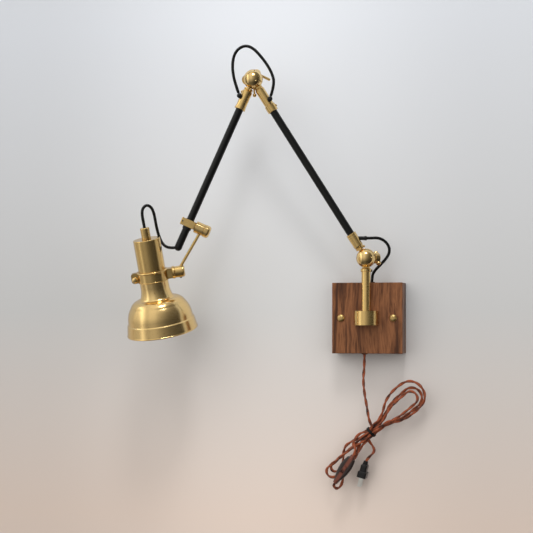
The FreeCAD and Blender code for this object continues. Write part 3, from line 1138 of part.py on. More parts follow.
def make_switch_button():
    seat = SWITCH_HALF_T - SHELL_T - FREE_GAP
    foot = block(-BUTTON_FOOT_W, BUTTON_FOOT_W, seat - 1.6, seat, BUTTON_REST - 2.5, BUTTON_REST + BUTTON_L + 2.5)
    top = block(-BUTTON_HALF_W, BUTTON_HALF_W, seat - 1, SWITCH_HALF_T + 1.8, BUTTON_REST, BUTTON_REST + BUTTON_L)
    top = top.makeFillet(0.8, [e for e in top.Edges if e.CenterOfMass.y > SWITCH_HALF_T + 1.7])
    return top.fuse(foot)


PLUG_LINE = aimed(PLUG_TOP, PLUG_DIR, V(-PLUG_DIR.y, PLUG_DIR.x, 0))


def blade(side):
    y = side * BLADE_SPACING / 2
    return block(-BLADE_W / 2, BLADE_W / 2, y - BLADE_T / 2, y + BLADE_T / 2, PLUG_L - BLADE_ROOT, PLUG_L + BLADE_L)


def make_plug_body():
    body = block(-PLUG_HALF_W, PLUG_HALF_W, -PLUG_HALF_D, PLUG_HALF_D, RELIEF_L, PLUG_L - 1)
    body = body.makeFillet(3.2, [e for e in body.Edges if e.BoundBox.ZLength > 5])
    body = body.makeFillet(2.4, [e for e in body.Edges if e.BoundBox.ZMax < RELIEF_L + 0.1])
    half_w, half_d = PLUG_HALF_W + PLUG_STEP, PLUG_HALF_D + PLUG_STEP
    flange = block(-half_w, half_w, -half_d, half_d, PLUG_L - PLUG_FLANGE, PLUG_L)
    flange = flange.makeFillet(3.0, [e for e in flange.Edges if e.BoundBox.ZLength > 1])
    flange = flange.makeFillet(1.2, [e for e in flange.Edges if e.BoundBox.ZMax < PLUG_L - PLUG_FLANGE + 0.1])
    body = body.fuse(flange).fuse(relief(0, RELIEF_L + 3))
    return body.cut(blade(1)).cut(blade(-1))


def make_blades():
    blades = []
    for side in (-1, 1):
        piece = blade(side)
        piece = piece.makeFillet(0.5, [e for e in piece.Edges if e.BoundBox.ZMin > PLUG_L + BLADE_L - 0.1])
        hole = cylinder(1.6, 40, V(0, -20, PLUG_L + BLADE_L - 5.0), V(0, 1, 0))
        blades.append(piece.cut(hole))
    return blades


def on_bundle(shape, line):
    return placed(placed(shape, line), BUNDLE)


export("switch_case", *[on_bundle(shell, SWITCH_LINE) for shell in make_switch_case()])
export("switch_button", on_bundle(make_switch_button(), SWITCH_LINE))
export("plug_body", on_bundle(make_plug_body(), PLUG_LINE))
export("plug_blades", *[on_bundle(piece, PLUG_LINE) for piece in make_blades()])
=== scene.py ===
"""Looks of the articulating wall lamp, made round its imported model.  Metres; X right, Y into the
wall, Z up; the origin is the centre of the wall box's back face."""
import json
import math

import bpy
from mathutils import Matrix, Vector


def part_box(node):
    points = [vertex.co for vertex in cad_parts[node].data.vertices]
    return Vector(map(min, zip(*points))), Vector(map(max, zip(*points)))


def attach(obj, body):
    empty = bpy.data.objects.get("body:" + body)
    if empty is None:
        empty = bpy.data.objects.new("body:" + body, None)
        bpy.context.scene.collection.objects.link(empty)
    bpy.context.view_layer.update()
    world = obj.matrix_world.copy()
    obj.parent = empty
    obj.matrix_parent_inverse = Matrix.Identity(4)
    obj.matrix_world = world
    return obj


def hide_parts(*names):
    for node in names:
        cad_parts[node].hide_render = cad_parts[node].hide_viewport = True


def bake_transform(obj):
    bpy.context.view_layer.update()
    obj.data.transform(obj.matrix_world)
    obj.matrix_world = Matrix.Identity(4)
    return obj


bl_info = {
    "name": "Wall Lamp Looks",
    "version": (1, 0, 0),
    "blender": (4, 5, 0),
    "location": "3D View > Sidebar > Wall Lamp",
    "description": "Cords, finishes, camera and light of an articulating wall lamp",
    "category": "Object",
}

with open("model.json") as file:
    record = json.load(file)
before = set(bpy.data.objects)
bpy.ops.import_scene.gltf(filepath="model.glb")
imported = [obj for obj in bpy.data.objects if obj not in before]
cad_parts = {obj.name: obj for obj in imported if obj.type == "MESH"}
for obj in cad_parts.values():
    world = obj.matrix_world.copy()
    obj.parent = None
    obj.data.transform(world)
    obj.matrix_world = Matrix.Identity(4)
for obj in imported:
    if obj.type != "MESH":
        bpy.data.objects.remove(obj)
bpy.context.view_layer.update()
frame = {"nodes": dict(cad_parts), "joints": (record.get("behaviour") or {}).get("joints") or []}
nodes = frame["nodes"]
joints = {j["name"]: j for j in frame["joints"]}
MM = 0.001

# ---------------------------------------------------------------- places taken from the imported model
SWING = math.radians(13.5)
STEM = Vector(joints["base_swivel"]["pos_m"])
ARMS = Matrix.Translation(STEM) @ Matrix.Rotation(SWING, 4, "Z")
ELBOW = Vector(joints["elbow_fold"]["pos_m"])
BASE_BALL = Vector(joints["arm1_tilt"]["pos_m"])
ARM1_AXIS = (ELBOW - BASE_BALL).normalized()
ARM2_AXIS = Vector(joints["clamp_slide"]["axis"])
CLAMP = Vector(joints["clamp_turn"]["pos_m"])
PIVOT_AXIS = Vector(joints["rod_swing"]["axis"])
RING = Vector(joints["head_tilt"]["pos_m"])
YOKE_AXIS = Vector(joints["head_tilt"]["axis"])
HEAD_AXIS = Vector(joints["head_turn"]["axis"])
SWITCH_AXIS = Vector(joints["switch_slide"]["axis"])

# ---------------------------------------------------------------- fixed sizes, metres unless said
FLEX_STEP, FLEX_SIDES = 0.002, 14          # spacing and count of a flex's rings and their points
CORD_STEP, CORD_SIDES = 0.0015, 10
STRAND_SHARE, STRAND_OFFSET = 0.64, 0.36   # of the mains cord's radius
THREADS_ROUND, THREADS_PER_METRE = 6.0, 900.0
TIE_TURNS, TIE_STEPS = 3.0, 96
TIE_R, TIE_WIDE, TIE_WIRE_R = 9.2, 4.8, 0.00085     # the first two in millimetres
SCREW_HEAD_R = 0.0095
PAINTED_EDGE_TINT = (0.55, 0.495, 0.4125)          # painted shade: tint of brass where it turns away from the eye
LENS, LENS_SHIFT = 88.5, 51.6 / 533        # focal length in millimetres, share of the picture
CAMERA_ACROSS = -0.167                     # along the arms' plane, from the stem
WALL_HALF, WALL_BACK = 4.0, 0.0006
GREY = (0.60, 0.60, 0.60)
WALL_LOW_Z, WALL_HIGH_Z = -0.35, 0.52      # between these the wall's painted light goes from warm below to cool above
PAINTED_POOL_X, PAINTED_POOL_FADE = -0.20, 0.42     # painted pool of light: the wall is brightest there and fades over this distance
# name, place, aim, size, share of the key light's power, whether it shows in the metal
LIGHTS = (("key", (-0.8, -2.6, 1.2), (-0.15, 0, 0.12), 3.0, 1.0, False),
          ("ceiling", (0.15, -1.3, 2.0), (-0.3, 0, 0.05), 0.5, 0.45, True),
          ("fill", (1.7, -2.2, 0.3), (-0.1, 0, 0.05), 2.2, 0.6, False))
# brightness of the surroundings from left to right, and from the floor up
BANDS = ((0.0, 0.70), (0.07, 0.85), (0.11, 2.0), (0.15, 1.2), (0.22, 0.60), (0.32, 0.80), (0.46, 0.75),
         (0.58, 0.45), (0.70, 0.30), (0.82, 0.16), (0.95, 0.10), (1.0, 0.06))
RISE = ((0.15, 0.16), (0.45, 0.75), (0.56, 1.0), (0.85, 1.15))


def in_arms(x, y, z):
    """A point of the arms' plane frame, in millimetres, as a point of the model."""
    return ARMS @ (Vector((x, y, z)) * MM)


# ---------------------------------------------------------------- sizes and colours a user would change
def colour_property(name, description, value):
    return bpy.props.FloatVectorProperty(name=name, description=description, subtype="COLOR", default=value,
                                         min=0, max=1)


def number_property(name, description, unit, value):
    return bpy.props.FloatProperty(name=name, description=description, unit=unit, default=value)


class BrassProps(bpy.types.PropertyGroup):
    colour: colour_property("Brass", "Colour of the lacquered brass", (0.84, 0.585, 0.235))
    bright: colour_property("Polished brass", "Colour of the brightest pieces", (0.90, 0.645, 0.285))
    roughness: bpy.props.FloatProperty(
        name="Roughness", description="Satin of the turned pieces", subtype="FACTOR", default=0.24,
        min=0, max=1)
    line_width: number_property("Tool lines", "Spacing of the turning lines", "LENGTH", 0.0007)


class WoodProps(bpy.types.PropertyGroup):
    light: colour_property("Light grain", "Palest streaks of the walnut", (0.235, 0.092, 0.036))
    middle: colour_property("Middle grain", "Body colour of the walnut", (0.112, 0.040, 0.015))
    dark: colour_property("Dark grain", "Darkest streaks of the walnut", (0.050, 0.018, 0.008))


class LeadProps(bpy.types.PropertyGroup):
    flex_radius: number_property("Flex radius", "Radius of the black flexes", "LENGTH", 0.0025)
    mains_radius: number_property("Mains cord radius", "Radius of the twisted mains cord", "LENGTH", 0.0026)
    lay: number_property("Lay", "Length of one full turn of the two strands", "LENGTH", 0.034)
    rust: colour_property("Rust thread", "Body colour of the mains cord", (0.330, 0.075, 0.024))
    umber: colour_property("Umber thread", "Dark lengths of the mains cord", (0.028, 0.010, 0.008))


class StageProps(bpy.types.PropertyGroup):
    # painted light: the wall's upper colour is cool and its lower colour warm
    wall: colour_property("Wall", "Cool upper part of the wall", (0.665, 0.69, 0.735))
    wall_low_warm_light: colour_property("Lower wall", "Warmer lower part of the wall", (0.73, 0.610, 0.535))
    distance: number_property("Camera distance", "From the camera to the arms' plane", "LENGTH", 2.2)
    key: number_property("Key light", "Power of the large light at the upper left", "POWER", 34.0)


# ---------------------------------------------------------------- node helpers
class Nodes:
    """Adds nodes to one tree and wires them up.  Values may be sockets or plain numbers."""

    def __init__(self, tree, family="ShaderNode"):
        self.tree = tree
        self.family = family

    def add(self, kind, **settings):
        node = self.tree.nodes.new(self.family + kind)
        for key, value in settings.items():
            setattr(node, key, value)
        return node

    def feed(self, socket, value):
        """Wire a value into a socket, or set the socket to it."""
        if isinstance(value, bpy.types.NodeSocket):
            self.tree.links.new(value, socket)
        else:
            socket.default_value = value

    def step(self, node, values, output=0):
        """Feed a node's inputs, by name or in order, and return one of its outputs."""
        pairs = values.items() if isinstance(values, dict) else enumerate(values)
        for key, value in pairs:
            self.feed(node.inputs[key], value)
        return node.outputs[output]

    def math(self, operation, *values, clamp=False):
        node = self.tree.nodes.new("ShaderNodeMath")
        node.operation, node.use_clamp = operation, clamp
        return self.step(node, values)

    def vector(self, operation, *values):
        node = self.add("VectorMath", operation=operation)
        return self.step(node, values, "Value" if operation in ("DOT_PRODUCT", "LENGTH") else 0)

    def coordinates(self):
        return self.add("TexCoord").outputs["Object"]

    def stretched(self, vector, scale):
        """Coordinates scaled along each axis."""
        return self.step(self.add("Mapping"), {"Vector": vector, "Scale": scale}, "Vector")

    def ramp(self, value, stops):
        """A colour ramp with (place, colour) stops, read at a value."""
        node = self.add("ValToRGB")
        while len(node.color_ramp.elements) < len(stops):
            node.color_ramp.elements.new(0.5)
        for element, (spot, colour) in zip(node.color_ramp.elements, stops):
            element.position = spot
            element.color = (*colour, 1)
        return self.step(node, {"Fac": value}, "Color")

    def noise(self, place, scale, detail=2.0, rough=0.5, output="Fac"):
        """Cloudy noise over coordinates."""
        return self.step(self.add("TexNoise"), {"Vector": place, "Scale": scale, "Detail": detail,
                                                "Roughness": rough}, output)

    def multiplied(self, first, second, factor=1.0):
        """Two colours multiplied."""
        mix = self.add("Mix", data_type="RGBA", blend_type="MULTIPLY")
        return self.step(mix, {"Factor": factor, "A": first, "B": second}, "Result")

    def spread(self, value, low, high):
        """Map a 0..1 value to low..high."""
        return self.step(self.add("MapRange"), {"Value": value, "To Min": low, "To Max": high}, "Result")

    def bump(self, height, strength, distance):
        return self.step(self.add("Bump"), {"Height": height, "Strength": strength, "Distance": distance},
                         "Normal")


def material(name):
    """A new material, a helper for its nodes and a function that sets its shader's inputs by name."""
    made = bpy.data.materials.new(name)
    made.use_nodes = True
    work = Nodes(made.node_tree)
    shader = made.node_tree.nodes["Principled BSDF"]

    def finish_with(**inputs):
        work.step(shader, {key.replace("_", " "): value for key, value in inputs.items()})
    return made, work, finish_with


def toned(colour, factor):
    """A colour made darker or lighter."""
    return tuple(min(1, part * factor) for part in colour)


# ---------------------------------------------------------------- finishes
def painted_edge_shade(work, colour):
    """Darken a colour where the surface turns away from the eye: painted shade at the edges."""
    turned = work.step(work.add("LayerWeight"), {"Blend": 0.5}, "Facing")
    return work.multiplied(colour, work.ramp(turned, [(0.60, (1, 1, 1)), (0.96, PAINTED_EDGE_TINT)]))


def turned_brass(name, origin, axis, colour, roughness, line_strength=0.12, mirrored=False):
    """Lacquered brass off the lathe: faint rings round the axis, patchy sheen, a few dark spots.

    The rings follow a number that is the same all round the axis: height along it plus distance
    from it.  A mirrored finish has the same rings at both sides of the box."""
    made, work, finish_with = material(name)
    place = work.coordinates()
    offset = work.vector("SUBTRACT", work.vector("ABSOLUTE", place) if mirrored else place, origin)
    height = work.vector("DOT_PRODUCT", offset, axis)
    radius = work.vector("LENGTH", work.vector("CROSS_PRODUCT", offset, axis))
    lines = work.step(work.add("TexNoise", noise_dimensions="1D"), {
        "W": work.math("ADD", height, radius), "Scale": 1 / bpy.context.scene.lamp_brass.line_width,
        "Detail": 2.0, "Roughness": 0.6}, "Fac")
    patches = work.noise(place, 14.0, 3.0)
    tone = work.ramp(patches, [(0.28, toned(colour, 0.93)), (0.72, toned(colour, 1.03))])
    spots = work.ramp(work.noise(place, 420.0), [(0.24, (0.62, 0.55, 0.45)), (0.33, (1, 1, 1))])
    streaks = work.math("MULTIPLY_ADD", lines, 0.5, patches)
    # the base colour carries painted shade where the surface turns away from the eye
    finish_with(Base_Color=painted_edge_shade(work, work.multiplied(tone, spots)), Metallic=1.0,
                Roughness=work.spread(streaks, roughness - 0.03, roughness + 0.04),
                Normal=work.bump(lines, line_strength, 0.00002))
    return made


def cast_brass(name, colour, roughness):
    """Tumbled brass of the knuckles and clamps: even sheen with soft dents."""
    made, work, finish_with = material(name)
    place = work.coordinates()
    patches = work.noise(place, 60.0, 4.0, 0.6)
    tone = work.ramp(patches, [(0.25, toned(colour, 0.84)), (0.7, toned(colour, 1.05))])
    # the base colour carries painted shade where the surface turns away from the eye
    finish_with(Base_Color=painted_edge_shade(work, tone), Metallic=1.0,
                Roughness=work.spread(patches, roughness - 0.06, roughness + 0.08),
                Normal=work.bump(work.noise(place, 150.0, 1.0), 0.06, 0.00006))
    return made


def walnut():
    """Oiled walnut with the grain running up the box, open pores and end grain on top."""
    props = bpy.context.scene.lamp_wood
    made, work, finish_with = material("walnut_oiled")
    place = work.coordinates()
    bend = work.noise(place, 9.0, output="Color")
    sway = work.vector("MULTIPLY_ADD", bend, (0.016, 0.016, 0.010), place)
    along = work.stretched(sway, (1.0, 0.7, 0.085))
    bands = work.noise(along, 105.0, 5.0, 0.62)
    broad = work.noise(along, 34.0, 3.0)
    blend = work.math("MULTIPLY_ADD", bands, 0.62, work.math("MULTIPLY", broad, 0.38))
    tone = work.ramp(blend, [(0.38, props.dark), (0.45, props.middle), (0.53, props.light),
                             (0.60, props.middle), (0.66, props.dark)])
    pores = work.noise(work.stretched(sway, (1.0, 1.0, 0.035)), 900.0)
    pits = work.ramp(pores, [(0.30, (0.42, 0.38, 0.36)), (0.42, (1, 1, 1))])
    finish_with(Base_Color=work.multiplied(tone, pits, 0.75), Specular_IOR_Level=0.26,
                Roughness=work.spread(bands, 0.36, 0.56), Normal=work.bump(pits, 0.25, 0.00015))
    return made


def smooth_coat(name, colour, roughness, grain, coat=0.0, metallic=0.0, strength=0.08):
    """Paint, rubber, metal or moulded plastic: a fine even grain and slight changes of sheen."""
    made, work, finish_with = material(name)
    place = work.coordinates()
    broad = work.noise(place, 30.0, 3.0)
    tone = work.ramp(broad, [(0.3, toned(colour, 0.85)), (0.7, toned(colour, 1.15))])
    finish_with(Base_Color=tone, Coat_Weight=coat, Metallic=metallic, Specular_IOR_Level=0.28,
                Roughness=work.spread(broad, roughness - 0.05, roughness + 0.06),
                Normal=work.bump(work.noise(place, grain), strength, 0.00008))
    return made


def woven_cover():
    """Braided thread on both strands of the mains cord: rust with dark lengths, more on one strand."""
    props = bpy.context.scene.lamp_leads
    made, work, finish_with = material("cord_braid")
    split = work.add("SeparateXYZ")
    work.feed(split.inputs[0], work.add("UVMap", uv_map="UVMap").outputs["UV"])

    def thread(pitch):
        """Height of the threads that run one way round the strand."""
        turns = work.math("MULTIPLY", split.outputs["X"], THREADS_ROUND)
        slant = work.math("MULTIPLY_ADD", split.outputs["Y"], pitch, turns)
        return work.math("PINGPONG", slant, 0.5)
    crossing = work.math("MAXIMUM", thread(THREADS_PER_METRE), thread(-THREADS_PER_METRE))
    strand = work.add("Attribute", attribute_name="strand").outputs["Fac"]
    flecks = work.noise(work.coordinates(), 95.0, 3.0, 0.6)
    shift = work.math("MULTIPLY_ADD", strand, 0.5, -2.05)
    which = work.math("MULTIPLY_ADD", flecks, 4.0, shift, clamp=True)
    colours = work.step(work.add("Mix", data_type="RGBA"), {
        "Factor": which, "A": (*props.rust, 1), "B": (*props.umber, 1)}, "Result")
    # painted shade: the hollows between the threads are darkened in the base colour
    shade = work.ramp(crossing, [(0.0, (0.30, 0.28, 0.28)), (0.34, (1, 1, 1))])
    finish_with(Base_Color=work.multiplied(colours, shade, 0.85), Roughness=0.62, Sheen_Weight=0.08,
                Sheen_Roughness=0.4, Normal=work.bump(crossing, 0.8, 0.0003))
    return made


def frosted_glass():
    """White frosted glass of the bulb."""
    made, work, finish_with = material("frosted_glass")
    frost = work.noise(work.coordinates(), 300.0, 3.0, 0.6)
    tone = work.ramp(frost, [(0.3, (0.86, 0.84, 0.79)), (0.7, (0.95, 0.94, 0.90))])
    finish_with(Base_Color=tone, Roughness=work.spread(frost, 0.28, 0.42), Transmission_Weight=0.55)
    return made


def striped_plastic():
    """Dark brown moulded case of the in-line switch with a reddish band along its middle."""
    made, work, finish_with = material("switch_plastic")
    place = work.coordinates()
    centre = sum(map(Vector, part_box("switch_case")), Vector()) / 2
    side = SWITCH_AXIS.cross(Vector((0, 1, 0))).normalized()
    across = work.vector("DOT_PRODUCT", work.vector("SUBTRACT", place, centre), side)
    centimetres = work.math("MULTIPLY", work.math("ABSOLUTE", across), 100.0)
    band = work.ramp(centimetres, [(0.20, (0.150, 0.040, 0.022)), (0.42, (0.020, 0.012, 0.010))])
    grain = work.noise(place, 700.0)
    finish_with(Base_Color=band, Roughness=work.spread(grain, 0.26, 0.40),
                Normal=work.bump(grain, 0.06, 0.0001))
    return made


def dress(made, *names):
    """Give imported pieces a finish."""
    for name in names:
        mesh = nodes[name].data
        mesh.materials.clear()
        mesh.materials.append(made)


# ---------------------------------------------------------------- leads
def curve_object(name, kind, points):
    """A curve of one spline through points, linked to the scene.  Returns the object and the spline."""
    curve = bpy.data.curves.new(name, "CURVE")
    curve.dimensions = "3D"
    spline = curve.splines.new(kind)
    spline.points.add(len(points) - 1)
    for at, point in zip(spline.points, points):
        at.co = (*point, 1)
    holder = bpy.data.objects.new(name + "_line", curve)
    bpy.context.scene.collection.objects.link(holder)
    return holder, spline


def smooth_line(points):
    """Points along the smooth curve that a lead's route gives."""
    holder, spline = curve_object("route", "NURBS", points)
    spline.order_u = 3
    spline.use_endpoint_u = True
    spline.resolution_u = 12
    curve = holder.data
    mesh = bpy.data.meshes.new_from_object(holder)
    line = [v.co.copy() for v in mesh.vertices]
    bpy.data.objects.remove(holder)
    bpy.data.curves.remove(curve)
    bpy.data.meshes.remove(mesh)
    return line


def lead_tree(name, strands):
    """Geometry tree that covers a line with one round lead, or with two strands that wind round it."""
    tree = bpy.data.node_groups.new(name, "GeometryNodeTree")
    for label, kind in (("Line", "Geometry"), ("Radius", "Float"), ("Lay", "Float"), ("Step", "Float"),
                        ("Sides", "Int"), ("Cover", "Material")):
        tree.interface.new_socket(label, in_out="INPUT", socket_type="NodeSocket" + kind)
    tree.interface.new_socket("Mesh", in_out="OUTPUT", socket_type="NodeSocketGeometry")
    given = tree.nodes.new("NodeGroupInput").outputs
    work = Nodes(tree, "GeometryNode")

    def store(geometry, label, value, kind="FLOAT", domain="POINT"):
        """Write one attribute and hand the geometry on."""
        node = work.add("StoreNamedAttribute", data_type=kind, domain=domain)
        return work.step(node, {"Geometry": geometry, "Name": label, "Value": value}, "Geometry")

    def stored(label):
        node = work.add("InputNamedAttribute", data_type="FLOAT")
        return work.step(node, {"Name": label}, "Attribute")

    def pair(*parts):
        return work.step(tree.nodes.new("ShaderNodeCombineXYZ"), parts)
    spaced = work.step(work.add("ResampleCurve", mode="LENGTH"),
                       {"Curve": given["Line"], "Length": given["Step"]}, "Curve")
    run = work.add("SplineParameter").outputs["Length"]
    full_turn = 2 * math.pi if strands > 1 else 0.0
    angle = work.math("MULTIPLY", work.math("DIVIDE", run, given["Lay"]), full_turn)
    wound = work.step(work.add("SetCurveTilt"), {"Curve": spaced, "Tilt": angle}, "Curve")
    line = store(wound, "run", run)
    joined = work.add("JoinGeometry")
    for strand in range(strands):
        share, off = (1.0, 0.0) if strands == 1 else (STRAND_SHARE, STRAND_OFFSET * (1 - 2 * strand))
        ring = work.step(work.add("CurvePrimitiveCircle"), {
            "Resolution": given["Sides"], "Radius": work.math("MULTIPLY", given["Radius"], share)}, "Curve")
        moved = work.step(work.add("Transform"), {
            "Geometry": ring, "Translation": pair(work.math("MULTIPLY", given["Radius"], off))}, "Geometry")
        profile = store(moved, "around", work.add("SplineParameter").outputs["Factor"])
        work.feed(joined.inputs["Geometry"], store(profile, "strand", float(strand)))
    skin = work.step(work.add("CurveToMesh"), {
        "Curve": line, "Profile Curve": joined.outputs["Geometry"], "Fill Caps": True}, "Mesh")
    mapped = store(skin, "UVMap", pair(stored("around"), stored("run")), "FLOAT2", "CORNER")
    smooth = work.step(work.add("SetShadeSmooth"), {"Geometry": mapped}, "Geometry")
    real = work.step(work.add("RealizeInstances"), {"Geometry": smooth}, "Geometry")
    covered = work.step(work.add("SetMaterial"), {"Geometry": real, "Material": given["Cover"]}, "Geometry")
    work.feed(tree.nodes.new("NodeGroupOutput").inputs["Mesh"], covered)
    return tree


def cover_line(name, line, tree, radius, cover, lay, step, sides):
    """Run a geometry tree along a line and return the plain mesh object."""
    holder, _ = curve_object(name, "POLY", line)
    made = holder.modifiers.new("lead", "NODES")
    made.node_group = tree
    values = {"Radius": radius, "Lay": lay, "Step": step, "Sides": sides, "Cover": cover}
    for socket in tree.interface.items_tree:
        if socket.name in values:
            made[socket.identifier] = values[socket.name]
    graph = bpy.context.evaluated_depsgraph_get()
    mesh = bpy.data.meshes.new_from_object(holder.evaluated_get(graph), preserve_all_data_layers=True,
                                           depsgraph=graph)
    mesh.name = name
    bpy.data.objects.remove(holder)
    piece = bpy.data.objects.new(name, mesh)
    bpy.context.scene.collection.objects.link(piece)
    return piece


def length_of(line):
    return sum((b - a).length for a, b in zip(line, line[1:]))


def cut_line(line, shares):
    """Cut a line into stretches at the given shares of its length; neighbours share a point."""
    total = length_of(line)
    marks = [total * share for share in shares] + [total + 1]
    pieces, current, gone = [], [line[0]], 0.0
    for a, b in zip(line, line[1:]):
        step = (b - a).length
        while gone + step > marks[0]:
            point = a.lerp(b, (marks[0] - gone) / step)
            current.append(point)
            pieces.append(current)
            current = [point]
            marks.pop(0)
        current.append(b)
        gone += step
    pieces.append(current)
    return pieces


def even(line):
    """The same line with its points a flex step apart, so that neighbouring stretches join in one ring."""
    total = length_of(line)
    count = max(2, round(total / FLEX_STEP))
    spots, gone, here = [], 0.0, 0
    for i in range(count + 1):
        want = total * i / count
        while here < len(line) - 2 and gone + (line[here + 1] - line[here]).length < want:
            gone += (line[here + 1] - line[here]).length
            here += 1
        step = (line[here + 1] - line[here]).length
        share = (want - gone) / step if step else 0.0
        spots.append(line[here].lerp(line[here + 1], min(1.0, share)))
    return spots


def ring_tube(name, line, radius, cover, across):
    """A round tube through every point of a line.  Returns the object and its last across direction,
    which the next stretch of the same lead starts from, so that their rings meet."""
    sides = FLEX_SIDES
    verts, faces = [], []
    for i, point in enumerate(line):
        ahead = line[min(i + 1, len(line) - 1)] - line[max(i - 1, 0)]
        ahead.normalize()
        across = (across - ahead * across.dot(ahead)).normalized()
        beside = ahead.cross(across)
        for k in range(sides):
            turn = 2 * math.pi * k / sides
            verts.append(point + (across * math.cos(turn) + beside * math.sin(turn)) * radius)
    for i in range(len(line) - 1):
        for k in range(sides):
            a, b = i * sides + k, i * sides + (k + 1) % sides
            faces.append((a, b, b + sides, a + sides))
    faces.append(tuple(reversed(range(sides))))
    faces.append(tuple(range(len(verts) - sides, len(verts))))
    mesh = bpy.data.meshes.new(name)
    mesh.from_pydata([tuple(v) for v in verts], [], faces)
    mesh.polygons.foreach_set("use_smooth", [len(f) == 4 for f in faces])
    mesh.materials.append(cover)
    piece = bpy.data.objects.new(name, mesh)
    bpy.context.scene.collection.objects.link(piece)
    return piece, across


# ---------------------------------------------------------------- routes, in millimetres
def in_bundle(along, across, front):
    """A point of the tied bundle as a point of the model."""
    return (TIE + ALONG * along + ACROSS * across + FRONT * front) * MM


def through_tie(slot, side):
    """Straight through the tie in one slot, starting from the given side."""
    across, front = SLOTS[slot]
    return [in_bundle(side * TIE_REACH, across, front), in_bundle(-side * TIE_REACH, across, front)]


def tied_loop(slot_in, slot_out, side, reach, out, back, front):
    """One loop of the bundle: out of one place in the tie, round its tip and into the next place.
    The tip is half of an eight-sided ring between the loop's two legs."""
    (across_in, front_in), (across_out, front_out) = SLOTS[slot_in], SLOTS[slot_out]
    wide, middle, half = LEG_SHARE * reach, (out + back) / 2, abs(out - back) / 2

    def mix(a, b, t):
        return a + (b - a) * t

    def at(x, a, f):
        return in_bundle(side * x, a, f)

    def leg(across, beside, level, steps):
        return [at(mix(TIE_REACH, wide, run), mix(across, beside, part), mix(level, front, part))
                for run, part in steps]
    neck = reach - TIP_NECK * half
    necks = [neck] if neck > wide + 4 else []
    return (leg(across_in, out, front_in, LEG_STEPS)
            + [at(x, out, front) for x in necks]
            + [at(reach - TIP_CORNER * half, out, front),
               at(reach, middle + TIP_SIDE * (out - middle), front),
               at(reach, middle + TIP_SIDE * (back - middle), front),
               at(reach - TIP_CORNER * half, back, front)]
            + [at(x, back, front) for x in necks]
            + leg(across_out, back, front_out, reversed(LEG_STEPS)))


# the bundle is drawn along its own axis: along, across, towards the front; its slots in the tie are
# seven cords packed round one another
BUNDLE_TILT = math.radians(41.0)
TIE = Vector((4.1, -25.0, -193.6))
ALONG = Vector((math.cos(BUNDLE_TILT), 0, math.sin(BUNDLE_TILT)))
FRONT = Vector((0, -1, 0))
ACROSS = FRONT.cross(ALONG)
TIE_REACH = 6             # half of a cord's straight run through the tie
PITCH = 6.0
ROW = PITCH * math.sqrt(3) / 2
SLOTS = {"front_right": (PITCH / 2, ROW), "front_left": (-PITCH / 2, ROW), "centre": (0, 0),
         "right": (PITCH, 0), "left": (-PITCH, 0), "back_right": (PITCH / 2, -ROW),
         "back_left": (-PITCH / 2, -ROW)}
LEG_SHARE = 0.70          # where a loop is at its full width, as a share of its reach
LEG_STEPS = ((0.33, 0.07), (0.70, 0.95))     # shares of the run out and of the width there
TIP_NECK, TIP_CORNER, TIP_SIDE = 1.41, 0.586, 0.414

GLAND = Vector((-7.5, -25.0, -60.0)) * MM
BOX_TO_TIE = [(-7.5, -25, -47), (-7.5, -25, -80), (-9.5, -27.5, -104), (-6.5, -32, -128), (-1.4, -36.3, -151)]
TIE_TO_SWITCH = [(-18, 11.5, 2.5), (-36, 6.5, 9.5), (-38, -8.7, 13.5), (-47.7, -11.3, 13.5)]
SWITCH_TO_TIE = [(-102.4, -26, 13.5), (-110.4, -28.4, 12.6), (-108, -38.2, -1), (-91.2, -32.1, -2.1),
                 (-57.1, 10.8, -3.6), (-38, 10.2, -4.9), (-17, 3.2, -ROW)]
TIE_TO_PLUG = [(-12, -3.6, -5.8), (-14.5, -9.5, -6.3), (-15.2, -22, -6.9), (-19, -29, -6.8),
               (-34, -29.9, -6.2), (-40.4, -31.5, -6)]
MAINS_ROUTE = (
    [Vector(p) * MM for p in BOX_TO_TIE]
    + [in_bundle(14, 20.5, 11.5), in_bundle(9.5, 10.5, 8.5)]
    + through_tie("front_right", 1) + tied_loop("front_right", "centre", -1, 97, 1.5, -12.5, -9.5)
    + through_tie("centre", -1) + tied_loop("centre", "front_left", 1, 101, 11.5, -12, 5.5)
    + through_tie("front_left", 1) + tied_loop("front_left", "left", -1, 105, 2, -18, 4.5)
    + through_tie("left", -1) + tied_loop("left", "right", 1, 115, -22.5, 29.5, 0)
    + through_tie("right", 1) + [in_bundle(*p) for p in TIE_TO_SWITCH])
PLUG_ROUTE = (
    [in_bundle(*p) for p in SWITCH_TO_TIE]
    + through_tie("back_right", -1) + tied_loop("back_right", "back_left", 1, 107, 16.5, -17.5, -7.5)
    + through_tie("back_left", 1) + [in_bundle(*p) for p in TIE_TO_PLUG])

# the flexes are drawn in the arms' plane frame; the first one starts at the bush of arm 1
ARM1_LEAN, ARM2_LEAN = math.radians(32.3), math.radians(24.0)
BALL_UP, BUSH_AT = 101, 39.2
BUSH_X, BUSH_Z = -math.sin(ARM1_LEAN) * BUSH_AT, BALL_UP + math.cos(ARM1_LEAN) * BUSH_AT
INLET = ARMS.inverted() @ Vector((0.005, -0.025, 0.060)) / MM
BASE_FLEX_ROUTE = [in_arms(*p) for p in [
    (BUSH_X + 7.5, 0, BUSH_Z), (BUSH_X + 28, 0, BUSH_Z), (20, 2.6, 135.2), (31.2, 5.5, 131), (39.5, 8, 121.5),
    (40.8, 10.5, 110), (33.5, 13, 98.5), (24.5, 17.5, 89), (16, 24.5, 79.8), (INLET[0], INLET[1], 70.5),
    (INLET[0], INLET[1], 46)]]
ELBOW_FLEX_ROUTE = [in_arms(*p) for p in [
    (-218.2, -8.6, 389), (-222.6, -10, 405.5), (-224, -11, 423), (-221.4, -11.5, 439.5), (-213, -12, 451),
    (-200.5, -12, 455.5), (-188.5, -12, 450), (-177.5, -12, 438.5), (-166, -12, 423.5), (-157, -12, 407),
    (-153.6, -12, 390.5)]]
